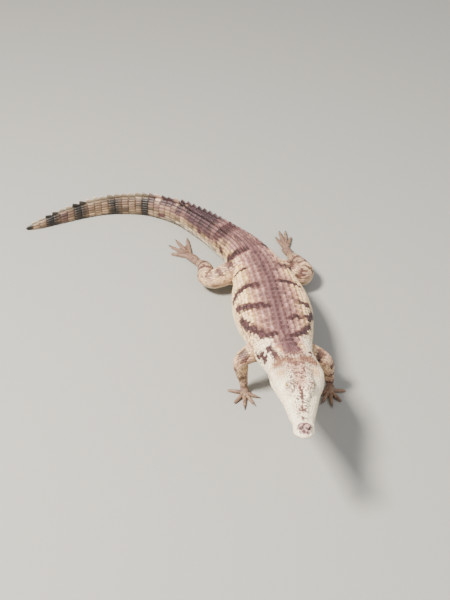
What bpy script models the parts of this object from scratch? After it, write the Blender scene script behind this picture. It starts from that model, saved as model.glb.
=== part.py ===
"""Saltwater crocodile, a young animal at life size, as a still model.

The body is a loft along one curved spine.  Every cross-section is worked out
from a few named tables of width, height and depth, and the legs are tapered
tubes hung from the trunk.  The whole is parted into named pieces by thin cuts.
The animal faces -Y, its left side is +X, and the floor is z = 0.
Units are metres; the tables are written in millimetres and scaled by MM.
"""
import math

import bmesh
import bpy
import numpy as np
from mathutils import Vector

MM = 0.001
GAP = 0.3                  # width of every parting cut
BODY_SIDES = 24            # points round a trunk section
TAIL_SIDES = 12            # points round a tail section
HEAD_SIDES = 13            # points across the roof of the head

SNOUT_TO_TABLE = 123.0     # snout tip to the rear edge of the skull table
HEAD_END = 148.0           # where the head is parted from the neck
NECK_END = 215.0
CHEST_END = 330.0
TRUNK_END = 462.0
TAIL_CUTS = (560.0, 650.0, 735.0, 820.0)
TOTAL_LENGTH = 915.0
HEAD_PITCH = math.radians(15.5)   # the head is held nose-up

EYE_RADIUS = 5.6
EYE_ALONG = 84.0           # distance of the eyes behind the snout tip
EYE_OUT = 12.4             # distance of each eye from the midline
EYE_UP = 20.6              # height of each eye above the jaw line

# Plan of the spine: distance from the snout tip, x, y of the section centre.
SPINE = (
    (123, 89.1, 913.2), (160, 86.0, 947.5), (198, 79.5, 984.5), (235, 74.2, 1021.0),
    (273, 71.6, 1058.0), (302, 68.8, 1087.0), (336, 65.4, 1120.0), (373, 60.8, 1157.0),
    (411, 55.0, 1194.0), (437, 48.6, 1218.5), (472, 38.2, 1251.5), (504, 24.8, 1280.0),
    (536, 6.4, 1306.0), (570, -15.0, 1332.5), (607, -40.0, 1359.5), (648, -69.5, 1386.5),
    (682, -99.0, 1404.5), (717, -131.5, 1416.0), (743, -157.5, 1418.5), (771, -185.5, 1417.5),
    (797, -211.0, 1412.5), (825, -237.5, 1403.0), (850, -261.0, 1392.5), (880, -288.5, 1379.5),
    (898, -305.0, 1372.5), (915, -321.0, 1367.5),
)

# Height of the line where a section is widest.
LEVEL = (
    (0, 132.8), (123, 99.9), (160, 90.0), (200, 77.5), (235, 67.5), (273, 58.0),
    (302, 51.0), (336, 44.0), (373, 37.0), (411, 31.5), (437, 29.0), (472, 27.0),
    (504, 25.0), (570, 22.0), (648, 19.0), (717, 16.5), (771, 14.5), (825, 12.0),
    (880, 8.5), (905, 5.4), (915, 3.4),
)

# Half-width of the section.
WIDTH = (
    (0, 4.6), (3, 7.7), (8, 10.4), (15, 12.1), (24, 11.9), (34, 12.7), (46, 15.3), (60, 18.2),
    (77, 21.6), (90, 24.2), (102, 27.4), (118, 31.4), (132, 33.6), (142, 34.0), (152, 33.0),
    (170, 31.0), (200, 34.5), (235, 41.0), (273, 47.5), (302, 52.5), (336, 54.0),
    (373, 51.0), (411, 43.0), (437, 38.5), (472, 33.5), (504, 29.5), (536, 25.8),
    (570, 22.0), (607, 18.6), (648, 15.4), (682, 13.2), (717, 11.4), (771, 9.2),
    (825, 7.4), (880, 5.2), (905, 3.2), (915, 1.5),
)

# Height of the back above the widest line.
RISE = (
    (0, 4.0), (3, 7.4), (7, 9.9), (12, 10.6), (18, 9.2), (30, 9.8), (46, 12.2), (60, 15.6),
    (73, 20.6), (83, 25.2), (95, 27.0), (110, 27.2), (122, 26.6), (129, 24.6), (140, 24.4),
    (160, 25.6), (200, 30.5), (235, 34.0), (273, 36.5), (302, 38.0), (336, 39.0),
    (373, 39.0), (411, 37.6), (437, 35.8), (472, 32.0), (504, 29.0), (570, 24.8),
    (648, 20.8), (717, 17.4), (771, 15.0), (825, 12.4), (880, 7.6), (905, 4.2), (915, 2.0),
)

# Depth of the belly below the widest line.
DROP = (
    (0, 0.9), (5, 3.6), (14, 6.0), (40, 7.8), (70, 10.2), (100, 13.4), (125, 16.6),
    (146, 18.6), (165, 21.0), (200, 25.6), (235, 27.0), (273, 28.0), (302, 28.6),
    (336, 29.2), (373, 29.6), (411, 31.4), (437, 29.8), (472, 27.8), (504, 25.8),
    (570, 22.8), (648, 19.8), (717, 17.3), (771, 15.3), (825, 12.8), (880, 9.3),
    (905, 6.2), (915, 4.0),
)

# Height of the mouth line: it dips, is notched, dips again and turns up behind.
MOUTH = (
    (0, 0.3), (6, 0.0), (14, -1.0), (23, 1.0), (32, -0.6), (46, -1.6), (60, 0.2),
    (72, 0.6), (84, -0.4), (96, 0.6), (112, 4.0), (126, 6.6), (148, 7.0),
)

# Half-width and flatness of the roof of the head: nostril boss, brows, skull table.
ROOF = (
    (0, 3.0), (8, 7.0), (16, 8.6), (24, 6.6), (40, 7.2), (60, 9.6), (74, 13.2),
    (84, 17.0), (92, 16.8), (104, 15.0), (118, 15.6), (126, 15.2), (148, 18.0),
)
CHEEK = (
    (0, 0.95), (24, 0.93), (46, 0.90), (62, 0.81), (76, 0.71), (90, 0.68), (110, 0.72),
    (126, 0.79), (140, 0.88), (148, 0.94),
)

# Height of the tail crest above the back, and how far apart its two rows stand.
CREST = (
    (450, 0.0), (470, 1.8), (504, 3.6), (570, 5.6), (648, 7.6), (717, 9.4), (771, 10.2),
    (825, 9.6), (880, 6.4), (905, 3.2), (915, 0.6),
)
CREST_SPREAD = ((450, 15.0), (504, 11.0), (570, 7.0), (620, 4.0), (655, 0.0), (915, 0.0))
WHORL = 11.5               # length of one ring of tail scales

# Upper teeth that show when the mouth is shut: place along the jaw and length.
UPPER_TEETH = ((29.6, 2.0), (36.2, 2.6), (42.6, 3.2), (49.3, 2.6), (56.4, 2.0), (84.6, 1.9))

# Legs: each joint as x, y, z and the two radii across the limb there.
RIGHT_ARM = ((56, 1016, 66, 14.5, 15.5), (35, 1010, 62, 12.0, 13.0), (20.5, 1003, 53, 9.0, 10.0))
RIGHT_FOREARM = ((20.5, 1003, 53, 9.1, 10.1), (22, 1004, 34, 8.2, 8.7), (25.5, 1003, 11, 6.0, 6.4))
LEFT_ARM = ((94, 1012, 66, 14.5, 15.5), (115, 1008, 62, 12.0, 13.0), (133, 1003, 53, 9.0, 10.0))
LEFT_FOREARM = ((133, 1003, 53, 9.1, 10.1), (137, 1006, 34, 8.2, 8.7), (141, 1008, 11, 6.0, 6.4))
RIGHT_THIGH = ((36, 1222, 33, 17.5, 18.5), (6, 1217, 31, 16, 17), (-22, 1207, 25, 13, 14))
RIGHT_SHANK = ((-22, 1207, 25, 13, 14), (-28, 1234, 19, 11.8, 12.8), (-38, 1266, 11.5, 6.8, 7.8))
LEFT_THIGH = ((70, 1222, 33, 17.5, 18.5), (96, 1221, 31, 16, 17), (119, 1214, 25, 13, 14))
LEFT_SHANK = ((119, 1214, 25, 13, 14), (114, 1246, 19, 11.8, 12.8), (101, 1286, 11.5, 6.8, 7.8))

# Hands and feet: palm path, then the tips of the digits from the inner side out.
RIGHT_HAND = ((25.5, 1003, 10.5), (26, 995, 3.0), ((42, 989), (37.5, 977), (26, 971.5), (13, 978), (5, 1001)))
LEFT_HAND = ((141, 1008, 10.5), (141, 999, 3.0), ((126, 992), (130, 980), (142, 975), (154, 981), (161, 1000)))
RIGHT_FOOT = ((-38, 1266, 11), (-54, 1293, 3.4), ((-60, 1338), (-76, 1334), (-84, 1320), (-83, 1302)))
LEFT_FOOT = ((101, 1286, 11), (96, 1311, 3.4), ((83, 1341), (88, 1357), (97, 1357), (105, 1344)))
FINGER_RADIUS = 2.7
TOE_RADIUS = 3.1
FLOOR_DIP = 0.6            # how far a resting part would pass the floor before it is cut flat


def curve(table, s):
    """Smooth value of a table at distance s (cubic between the listed points)."""
    a = np.array(table, dtype=float)
    x, v = a[:, 0], a[:, 1]
    slope = np.gradient(v, x)
    s = np.clip(s, x[0], x[-1])
    i = np.clip(np.searchsorted(x, s, side="right") - 1, 0, len(x) - 2)
    h = x[i + 1] - x[i]
    t = (s - x[i]) / h
    return ((2 * t**3 - 3 * t**2 + 1) * v[i] + (t**3 - 2 * t**2 + t) * h * slope[i]
            + (3 * t**2 - 2 * t**3) * v[i + 1] + (t**3 - t**2) * h * slope[i + 1])


def spine_point(s):
    """Centre of the section at distance s."""
    plan = np.array(SPINE)
    if s < SNOUT_TO_TABLE:
        x = SPINE[0][1]
        y = SPINE[0][2] - (SNOUT_TO_TABLE - s) * math.cos(HEAD_PITCH)
    else:
        x = curve(plan[:, [0, 1]], s)
        y = curve(plan[:, [0, 2]], s)
    return np.array([x, y, curve(LEVEL, s)])


def frame_at(s):
    """Centre, side direction (animal's left) and up direction of a section."""
    centre = spine_point(s)
    ahead = spine_point(max(s - 2.0, -2.0)) - spine_point(s + 2.0)
    ahead[2] = 0.0
    ahead /= np.linalg.norm(ahead)
    lean = HEAD_PITCH * np.clip((215.0 - s) / 90.0, 0.0, 1.0)
    forward = ahead * math.cos(lean) + np.array([0, 0, math.sin(lean)])
    up = np.array([0, 0, math.cos(lean)]) - ahead * math.sin(lean)
    side = np.cross(up, forward)
    return centre, side / np.linalg.norm(side), up


def place(s, side_up):
    """Put section points (side, up) of the section at s into the world."""
    centre, side, up = frame_at(s)
    p = np.asarray(side_up, dtype=float)
    return (centre + p[:, :1] * side + p[:, 1:] * up) * MM


def roof_height(s, x):
    """Height of the top of the head above the jaw line at side distance x."""
    base = curve(MOUTH, s)
    width = curve(WIDTH, s)
    rise = curve(RISE, s) - base
    roof = curve(ROOF, s)
    flank = 1.0 - np.minimum(np.abs(x / width), 1.0) ** 2.6
    cheek = rise * curve(CHEEK, s) * flank ** 0.46
    table = rise * np.maximum(1.0 - np.abs(x / (roof * 1.22)) ** 4.0, 0.0) ** 0.5
    blend = 1.6
    higher = 0.5 * (cheek + table + np.sqrt((cheek - table) ** 2 + blend ** 2)) - 0.5 * blend
    return base + higher * np.minimum(flank * 12.0, 1.0)


def upper_head_ring(s):
    """Roof of the head from one lip over to the other, then back along the palate."""
    angle = np.linspace(-90.0, 90.0, HEAD_SIDES)
    x = curve(WIDTH, s) * np.sin(np.radians(angle))
    roof = np.column_stack([x, roof_height(s, x)])
    across = curve(WIDTH, s) * np.array([0.66, 0.0, -0.66])
    palate = np.column_stack([across, np.full(3, curve(MOUTH, s))])
    return place(s, np.vstack([roof, palate]))


def lower_head_ring(s):
    """Lower jaw: flat along the mouth line and rounded beneath."""
    top = curve(MOUTH, s) - GAP * 1.25
    half = curve(WIDTH, s) - 1.5 * np.clip((118.0 - s) / 30.0, 0.0, 1.0)
    angle = np.radians(np.linspace(0.0, 180.0, 9))
    x = half * np.sign(np.cos(angle)) * np.abs(np.cos(angle)) ** 0.8
    z = top - (top + curve(DROP, s)) * np.sin(angle) ** 0.72
    return place(s, np.vstack([np.column_stack([x, z]), [(0.0, top)]]))


def body_ring(s):
    """Neck and trunk: a broad section with a flattened back and a soft flank."""
    angle = np.radians(np.arange(BODY_SIDES) * 360.0 / BODY_SIDES)
    c, d = np.cos(angle), np.sin(angle)
    x = curve(WIDTH, s) * np.sign(c) * np.abs(c) ** 0.86
    up = curve(RISE, s) * np.abs(d) ** 0.84
    down = curve(DROP, s) * np.abs(d) ** 0.70
    z = np.where(d >= 0.0, up, -down)
    return place(s, np.column_stack([x, z]))


def tail_ring(s, tooth):
    """Tail: deeper than wide towards the tip, with one or two rows of crest."""
    half = TAIL_SIDES // 2
    angle = np.radians(np.arange(TAIL_SIDES) * 360.0 / TAIL_SIDES)
    c, d = np.cos(angle), np.sin(angle)
    x = curve(WIDTH, s) * np.sign(c) * np.abs(c) ** 0.90
    z = np.where(d >= 0.0, curve(RISE, s) * np.abs(d) ** 0.90,
                 -curve(DROP, s) * np.abs(d) ** 0.72)
    spread = curve(CREST_SPREAD, s)
    blade = curve(CREST, s) * tooth
    top = half // 2
    apart = np.clip(spread / 4.0, 0.0, 1.0)
    for step, sign in ((-1, 1.0), (1, -1.0)):
        x[top + step] = sign * (spread if apart >= 1.0 else
                                apart * 4.0 + (1 - apart) * 0.30 * curve(WIDTH, s))
        z[top + step] = z[top + step] * (1 - apart * 0.03) + blade * apart
    x[top] = 0.0
    z[top] = z[top] + blade * (1.0 - apart)
    return place(s, np.column_stack([x, z]))


def finish(name, mesh_edit):
    """Turn an edit mesh into a named object with outward faces."""
    bmesh.ops.remove_doubles(mesh_edit, verts=mesh_edit.verts, dist=1e-6)
    bmesh.ops.recalc_face_normals(mesh_edit, faces=mesh_edit.faces)
    if mesh_edit.calc_volume(signed=True) < 0.0:
        bmesh.ops.reverse_faces(mesh_edit, faces=mesh_edit.faces)
    mesh = bpy.data.meshes.new(name)
    mesh_edit.to_mesh(mesh)
    mesh_edit.free()
    obj = bpy.data.objects.new(name, mesh)
    bpy.context.scene.collection.objects.link(obj)
    return obj


def loft(name, rings, tip=False):
    """Closed body through a row of rings with flat ends."""
    edit = bmesh.new()
    rows = [[edit.verts.new(p) for p in ring] for ring in rings]
    count = len(rows[0])
    for a, b in zip(rows[:-1], rows[1:]):
        for i in range(count):
            j = (i + 1) % count
            edit.faces.new((a[i], a[j], b[j], b[i]))
    edit.faces.new(rows[0][::-1])
    edit.faces.new(rows[-1])
    bmesh.ops.triangulate(edit, faces=[f for f in edit.faces if len(f.verts) > 4])
    return finish(name, edit)


def tube(name, stations, sides=10, steps=2, start=(-0.80, -0.45), end=(0.45, 0.80)):
    """Tapered limb through stations of x, y, z and two radii, with domed ends."""
    pts = np.array(stations, dtype=float)
    knots = np.arange(len(pts), dtype=float)
    fine = np.linspace(0.0, knots[-1], (len(pts) - 1) * steps + 1)
    path = np.column_stack([curve(np.column_stack([knots, pts[:, k]]), fine) for k in range(5)])
    ahead = np.gradient(path[:, :3], axis=0)
    ahead /= np.linalg.norm(ahead, axis=1)[:, None]
    rows = [(path[0, :3], ahead[0], path[0, 3:], dome) for dome in start]
    rows += [(p[:3], a, p[3:], 0.0) for p, a in zip(path, ahead)]
    rows += [(path[-1, :3], ahead[-1], path[-1, 3:], dome) for dome in end]
    rings = []
    for centre, along, radii, dome in rows:
        across = np.cross(along, [0.0, 0.0, 1.0])
        if np.linalg.norm(across) < 0.35:
            across = np.cross(along, [0.0, 1.0, 0.0])
        across /= np.linalg.norm(across)
        upward = np.cross(across, along)
        shrink = math.sqrt(1.0 - dome * dome)
        angle = np.radians(np.arange(sides) * 360.0 / sides)
        ring = (centre + along * dome * radii.mean()
                + np.outer(np.cos(angle) * radii[0] * shrink, across)
                + np.outer(np.sin(angle) * radii[1] * shrink, upward))
        rings.append(ring * MM)
    return loft(name, rings)


def boolean(obj, other, kind):
    """Apply one exact boolean and remove the second object."""
    mod = obj.modifiers.new(kind.lower(), "BOOLEAN")
    mod.operation = kind
    mod.solver = "EXACT"
    mod.object = other
    depsgraph = bpy.context.evaluated_depsgraph_get()
    result = bpy.data.meshes.new_from_object(obj.evaluated_get(depsgraph))
    obj.modifiers.clear()
    old = obj.data
    obj.data = result
    bpy.data.meshes.remove(old)
    bpy.data.objects.remove(other)
    return obj


def grown(obj, distance):
    """Copy of an object swollen by a distance, used to cut a thin parting gap."""
    edit = bmesh.new()
    edit.from_mesh(obj.data)
    bmesh.ops.triangulate(edit, faces=edit.faces)
    edit.normal_update()
    moves = [v.normal * distance * min(v.calc_shell_factor(), 1.8) for v in edit.verts]
    for v, move in zip(edit.verts, moves):
        v.co += move
    mesh = bpy.data.meshes.new("swell")
    edit.to_mesh(mesh)
    edit.free()
    copy = bpy.data.objects.new("swell", mesh)
    bpy.context.scene.collection.objects.link(copy)
    return copy


def block(low, high):
    """Plain box between two corners, in millimetres."""
    edit = bmesh.new()
    bmesh.ops.create_cube(edit, size=1.0)
    low, high = Vector(low) * MM, Vector(high) * MM
    for v in edit.verts:
        v.co = Vector([low[k] if v.co[k] < 0 else high[k] for k in range(3)])
    return finish("block", edit)


def flatten_on_floor(obj):
    """Cut away what would pass below the floor, leaving a small true flat."""
    return boolean(obj, block((-600, 500, -80), (400, 1700, 0)), "DIFFERENCE")


def sphere(name, centre, radius, rings=6, segments=10):
    """Ball built from its own operator."""
    edit = bmesh.new()
    bmesh.ops.create_uvsphere(edit, u_segments=segments, v_segments=rings, radius=radius * MM)
    bmesh.ops.translate(edit, verts=edit.verts, vec=Vector(centre) * MM)
    return finish(name, edit)


def head_point(s, out, up):
    """World place, in millimetres, of a point given in the head's own frame."""
    return place(s, [(out, up)])[0] / MM


def tooth(s, side, length):
    """Pointed tooth hanging from the edge of the upper jaw."""
    root = curve(MOUTH, s) + 1.4
    tip = curve(MOUTH, s) - length
    out = side * (curve(WIDTH, s) - 0.35)
    stations = [(*head_point(s, out, root), 0.85, 0.85), (*head_point(s, out, tip), 0.30, 0.30)]
    return tube("tooth", stations, sides=4, steps=1, start=(), end=())


def build_head():
    """Upper head with eye sockets, lower jaw and both eyes."""
    along = [0.0, 1.2, 3.2, 6.5, 10.5, 15, 19, 23, 28, 36, 45, 54, 63, 71, 77, 83, 89, 97,
             109, 121, 127, 134, HEAD_END - GAP]
    upper = loft("upper_head", [upper_head_ring(s) for s in along])
    lower = loft("lower_jaw", [lower_head_ring(s) for s in along])
    for side in (1.0, -1.0):
        for s, length in UPPER_TEETH:
            boolean(upper, tooth(s, side, length), "UNION")
    eyes = []
    for name, sign in (("eye_left", 1.0), ("eye_right", -1.0)):
        centre = head_point(EYE_ALONG, sign * EYE_OUT, EYE_UP)
        boolean(upper, sphere("socket", centre, EYE_RADIUS + GAP), "DIFFERENCE")
        eyes.append(sphere(name, centre, EYE_RADIUS))
    return [upper, lower] + eyes


def build_trunk():
    """Neck, chest and belly-and-hips, lofted between the parting planes."""
    spans = (("neck", HEAD_END, NECK_END, 6), ("chest", NECK_END, CHEST_END, 8),
             ("belly_and_hips", CHEST_END, TRUNK_END, 10))
    pieces = []
    for name, start, end, steps in spans:
        rings = [body_ring(s) for s in np.linspace(start, end - GAP, steps + 1)]
        pieces.append(loft(name, rings))
    flatten_on_floor(pieces[-1])
    return pieces


def build_tail():
    """Five lengths of tail with the crest teeth joined to them."""
    cuts = (TRUNK_END,) + TAIL_CUTS + (TOTAL_LENGTH,)
    pieces = []
    for n, (start, end) in enumerate(zip(cuts[:-1], cuts[1:])):
        whorls = int(round((end - start) / WHORL))
        s = np.linspace(start, end - GAP, whorls * 2 + 1)
        rings = [tail_ring(v, 0.35 + 0.65 * (k % 2)) for k, v in enumerate(s)]
        piece = loft("tail_%d" % (n + 1), rings)
        pieces.append(flatten_on_floor(piece))
    return pieces


def build_limb(side, names, upper, lower, trunk):
    """Upper and lower length of one leg, parted from the trunk and each other."""
    top = tube(names[0] + "_" + side, upper)
    low = tube(names[1] + "_" + side, lower)
    for piece in trunk:
        boolean(top, grown(piece, GAP * MM), "DIFFERENCE")
    boolean(top, grown(low, GAP * MM), "DIFFERENCE")
    for piece in trunk:
        boolean(low, grown(piece, GAP * MM), "DIFFERENCE")
    return top, low


def web_wedge(palm, first, second, number):
    """Thin skin between two toes: a shallow wedge from the palm outwards."""
    start = palm - (first + second - 2.0 * palm) * (0.06 + 0.02 * number)
    corners = (start, first * 0.62 + palm * 0.38, second * 0.62 + palm * 0.38)
    low = 0.8 + 0.13 * number
    rings = [[(p[0] * MM, p[1] * MM, z * MM) for p in corners] for z in (low, low + 1.4)]
    return loft("web", rings)


def build_paw(name, plan, radius, claws, webbed, shank):
    """Palm and digits as one body, with a separate claw on the inner digits."""
    wrist, palm, tips = plan
    wrist = np.array(wrist, dtype=float)
    palm = np.array(palm, dtype=float)
    back = wrist * 0.75 + palm * 0.25
    ahead = (palm - wrist) / np.linalg.norm(palm - wrist)
    spread = 2.5 * radius
    body = tube(name, ((*back, radius * 1.7, radius * 1.8),
                       (*(palm - ahead * 2), spread, radius * 1.5),
                       (*(palm + ahead * radius * 1.2), spread * 0.95, radius * 1.25)),
                sides=8, steps=1, start=(), end=(0.7,))
    tips = [np.array([*tip, radius * 0.64]) for tip in tips]
    if webbed:
        for k in range(len(tips) - 1):
            boolean(body, web_wedge(palm, tips[k], tips[k + 1], k), "UNION")
    digits = []
    for k, tip in enumerate(tips):
        offset = tip - palm
        offset[2] = 0.0
        offset /= np.linalg.norm(offset)
        root = palm + offset * radius * (1.2 + 0.07 * k) + np.array([0.0, 0.0, 0.17 * k])
        knuckle = root * 0.45 + tip * 0.55
        knuckle[2] = radius * 0.82
        thick = radius * (0.97 + 0.013 * k)
        digit = tube("digit", ((*root, thick * 1.02, thick * 1.05), (*knuckle, thick, thick * 1.02),
                               (*tip, radius * 0.72, radius * 0.78)), sides=6, steps=1, start=(),
                     end=(0.6,))
        pointing = (tip - knuckle) / np.linalg.norm(tip - knuckle)
        digits.append((tip, pointing))
        boolean(body, digit, "UNION")
    boolean(body, grown(shank, GAP * MM), "DIFFERENCE")
    flatten_on_floor(body)
    pieces = [body]
    for k, (tip, pointing) in enumerate(digits[:claws]):
        base = tip + pointing * (radius * 0.45 + GAP * 1.3)
        mid = base + pointing * radius * 0.9
        end = base + pointing * radius * 2.2
        end[2] = 0.9
        pieces.append(tube("%s_claw_%d" % (name, k + 1),
                           ((*base, radius * 0.50, radius * 0.56), (*mid, radius * 0.36, radius * 0.44),
                            (*end, 0.30, 0.36)), sides=6, steps=1, start=(), end=()))
    return pieces


def keep_largest(obj):
    """Drop loose crumbs left by a cut, keeping the biggest shell."""
    edit = bmesh.new()
    edit.from_mesh(obj.data)
    left = set(edit.verts)
    shells = []
    while left:
        stack = [left.pop()]
        shell = set(stack)
        while stack:
            for e in stack.pop().link_edges:
                for v in e.verts:
                    if v not in shell:
                        shell.add(v)
                        stack.append(v)
        left -= shell
        shells.append(shell)
    shells.sort(key=len)
    drop = [v for shell in shells[:-1] for v in shell]
    bmesh.ops.delete(edit, geom=drop, context="VERTS")
    edit.to_mesh(obj.data)
    edit.free()
    return obj


def paint(obj, name, colour, roughness):
    """Give an object its own plain material."""
    material = bpy.data.materials.new(name)
    material.use_nodes = True
    shader = material.node_tree.nodes["Principled BSDF"]
    shader.inputs["Base Color"].default_value = (*colour, 1.0)
    shader.inputs["Roughness"].default_value = roughness
    shader.inputs["Metallic"].default_value = 0.0
    obj.data.materials.clear()
    obj.data.materials.append(material)


COLOURS = (
    ("upper_head", (0.62, 0.52, 0.38), 0.55), ("lower_jaw", (0.72, 0.64, 0.48), 0.55),
    ("eye", (0.36, 0.26, 0.08), 0.12), ("neck", (0.50, 0.40, 0.28), 0.6),
    ("chest", (0.40, 0.32, 0.25), 0.6), ("belly", (0.38, 0.30, 0.24), 0.6),
    ("tail", (0.42, 0.33, 0.24), 0.6), ("arm", (0.48, 0.38, 0.24), 0.6),
    ("forearm", (0.46, 0.36, 0.24), 0.6), ("thigh", (0.50, 0.40, 0.24), 0.6),
    ("shank", (0.46, 0.37, 0.24), 0.6), ("hand", (0.44, 0.35, 0.27), 0.6),
    ("foot", (0.42, 0.34, 0.27), 0.6),
)


def colour_for(name):
    """Colour and roughness of a piece, found from its name."""
    if "claw" in name:
        return (0.10, 0.08, 0.06), 0.35
    for key, colour, roughness in COLOURS:
        if name.startswith(key):
            return colour, roughness
    return (0.4, 0.32, 0.24), 0.6


def centre_on_origin(pieces):
    """Move all pieces so the middle of the whole stands over the origin."""
    points = np.array([v.co[:] for obj in pieces for v in obj.data.vertices])
    middle = (points.min(axis=0) + points.max(axis=0)) / 2.0
    for obj in pieces:
        for v in obj.data.vertices:
            v.co.x -= middle[0]
            v.co.y -= middle[1]


def build():
    """Whole animal."""
    for obj in list(bpy.data.objects):
        bpy.data.objects.remove(obj)
    pieces = build_head()
    trunk = build_trunk()
    tail = build_tail()
    fore = (trunk[0], trunk[1])
    hind = (trunk[1], trunk[2], tail[0])
    pieces += trunk + tail
    legs = (
        ("right", ("arm", "forearm"), RIGHT_ARM, RIGHT_FOREARM, fore, RIGHT_HAND, "hand"),
        ("left", ("arm", "forearm"), LEFT_ARM, LEFT_FOREARM, fore, LEFT_HAND, "hand"),
        ("right", ("thigh", "shank"), RIGHT_THIGH, RIGHT_SHANK, hind, RIGHT_FOOT, "foot"),
        ("left", ("thigh", "shank"), LEFT_THIGH, LEFT_SHANK, hind, LEFT_FOOT, "foot"),
    )
    for side, names, upper, lower, touching, plan, end in legs:
        top, low = build_limb(side, names, upper, lower, touching)
        radius = FINGER_RADIUS if end == "hand" else TOE_RADIUS
        paw = build_paw(end + "_" + side, plan, radius, 3, end == "foot", low)
        pieces += [keep_largest(top), keep_largest(low)] + paw
    centre_on_origin(pieces)
    for obj in pieces:
        colour, roughness = colour_for(obj.name)
        paint(obj, obj.name + "_paint", colour, roughness)


build()
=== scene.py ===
"""A young saltwater crocodile, life size, resting on its hips and propped on its forelegs.

One seamless skin carries separate scales, eyes, teeth and claws.  The animal faces -Y, its
left side is +X, and the floor is z = 0.  Body tables are in millimetres along the spine.
"""

import math

import bmesh
import bpy
import numpy as np
from mathutils import Matrix, Vector, kdtree, noise
from mathutils.bvhtree import BVHTree


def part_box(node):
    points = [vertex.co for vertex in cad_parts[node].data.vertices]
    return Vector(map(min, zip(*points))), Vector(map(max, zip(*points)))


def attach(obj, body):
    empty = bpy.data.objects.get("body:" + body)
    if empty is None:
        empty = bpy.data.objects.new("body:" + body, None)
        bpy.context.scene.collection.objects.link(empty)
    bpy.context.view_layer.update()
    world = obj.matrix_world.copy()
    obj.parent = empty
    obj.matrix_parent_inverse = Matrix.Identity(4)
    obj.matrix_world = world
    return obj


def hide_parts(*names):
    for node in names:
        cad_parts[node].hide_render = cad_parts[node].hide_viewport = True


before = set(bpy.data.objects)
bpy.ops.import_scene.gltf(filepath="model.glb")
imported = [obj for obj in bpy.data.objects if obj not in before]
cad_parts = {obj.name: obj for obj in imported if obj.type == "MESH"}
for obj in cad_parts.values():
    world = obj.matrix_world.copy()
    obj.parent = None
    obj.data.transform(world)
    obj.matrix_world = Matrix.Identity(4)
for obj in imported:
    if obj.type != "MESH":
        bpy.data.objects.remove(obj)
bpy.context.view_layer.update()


# --------------------------------------------------------------------------------------
# Skin of head, neck, trunk and tail.
# A soft, tight hide over the whole animal.  It is sheets rolled into tubes along the curved
# spine and bridged, drawn in by the thickness of the scales that stand on it.
# --------------------------------------------------------------------------------------
MM = 0.001
SNOUT_TO_TABLE = 123.0     # straight stretch from the snout to the back of the skull table
HEAD_PITCH = math.radians(15.5)
SCALE_DEPTH = 0.55         # how far the skin lies below the outline of the scales
NECK_BLEND = (126.0, 168.0)
LAST_HEAD_SECTION = 148.0
MOUTH_SHARE = 0.58         # where the mouth lies, as a share of the points from crown to throat
EYES_AT = 84.0
EYE_RISE = 20.6            # of the eyes above the middle of their section
EYE_SIDES = {"eye_left": 1.0, "eye_right": -1.0}

# distance from the snout with: the spine's x and y, its height, and the half width, rise to
# the back and drop to the belly of each section
SPINE = (
    (123, 89.1, 913.2), (160, 86.0, 947.5), (198, 79.5, 984.5), (235, 74.2, 1021.0),
    (273, 71.6, 1058.0), (302, 68.8, 1087.0), (336, 65.4, 1120.0), (373, 60.8, 1157.0),
    (411, 55.0, 1194.0), (437, 48.6, 1218.5), (472, 38.2, 1251.5), (504, 24.8, 1280.0),
    (536, 6.4, 1306.0), (570, -15.0, 1332.5), (607, -40.0, 1359.5), (648, -69.5, 1386.5),
    (682, -99.0, 1404.5), (717, -131.5, 1416.0), (743, -157.5, 1418.5), (771, -185.5, 1417.5),
    (797, -211.0, 1412.5), (825, -237.5, 1403.0), (850, -261.0, 1392.5), (880, -288.5, 1379.5),
    (898, -305.0, 1372.5), (915, -321.0, 1367.5),
)
LEVEL = (
    (0, 132.8), (123, 99.9), (160, 90.0), (200, 77.5), (235, 67.5), (273, 58.0),
    (302, 51.0), (336, 44.0), (373, 37.0), (411, 31.5), (437, 29.0), (472, 27.0),
    (504, 25.0), (570, 22.0), (648, 19.0), (717, 16.5), (771, 14.5), (825, 12.0),
    (880, 8.5), (905, 5.4), (915, 3.4),
)
WIDTH = (
    (0, 4.6), (3, 7.7), (8, 10.4), (15, 12.1), (24, 11.9), (34, 12.7), (46, 15.3), (60, 18.2),
    (77, 21.6), (90, 24.2), (102, 27.4), (118, 31.4), (132, 33.6), (142, 34.0), (152, 33.0),
    (170, 31.0), (200, 34.5), (235, 41.0), (273, 47.5), (302, 52.5), (336, 54.0),
    (373, 51.0), (411, 43.0), (437, 38.5), (472, 33.5), (504, 29.5), (536, 25.8),
    (570, 22.0), (607, 18.6), (648, 15.4), (682, 13.2), (717, 11.4), (771, 9.2),
    (825, 7.4), (880, 5.2), (905, 3.2), (915, 1.5),
)
RISE = (
    (0, 4.0), (3, 7.4), (7, 9.9), (12, 10.6), (18, 9.2), (30, 9.8), (46, 12.2), (60, 15.6),
    (73, 20.6), (83, 25.2), (95, 27.0), (110, 27.2), (122, 26.6), (129, 24.6), (140, 24.4),
    (160, 25.6), (200, 30.5), (235, 34.0), (273, 36.5), (302, 38.0), (336, 39.0),
    (373, 39.0), (411, 37.6), (437, 35.8), (472, 32.0), (504, 29.0), (570, 24.8),
    (648, 20.8), (717, 17.4), (771, 15.0), (825, 12.4), (880, 7.6), (905, 4.2), (915, 2.0),
)
DROP = (
    (0, 0.9), (5, 3.6), (14, 6.0), (40, 7.8), (70, 10.2), (100, 13.4), (125, 16.6),
    (146, 18.6), (165, 21.0), (200, 25.6), (235, 27.0), (273, 28.0), (302, 28.6),
    (336, 29.2), (373, 29.6), (411, 31.4), (437, 29.8), (472, 27.8), (504, 25.8),
    (570, 22.8), (648, 19.8), (717, 17.3), (771, 15.3), (825, 12.8), (880, 9.3),
    (905, 6.2), (915, 4.0),
)
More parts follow.
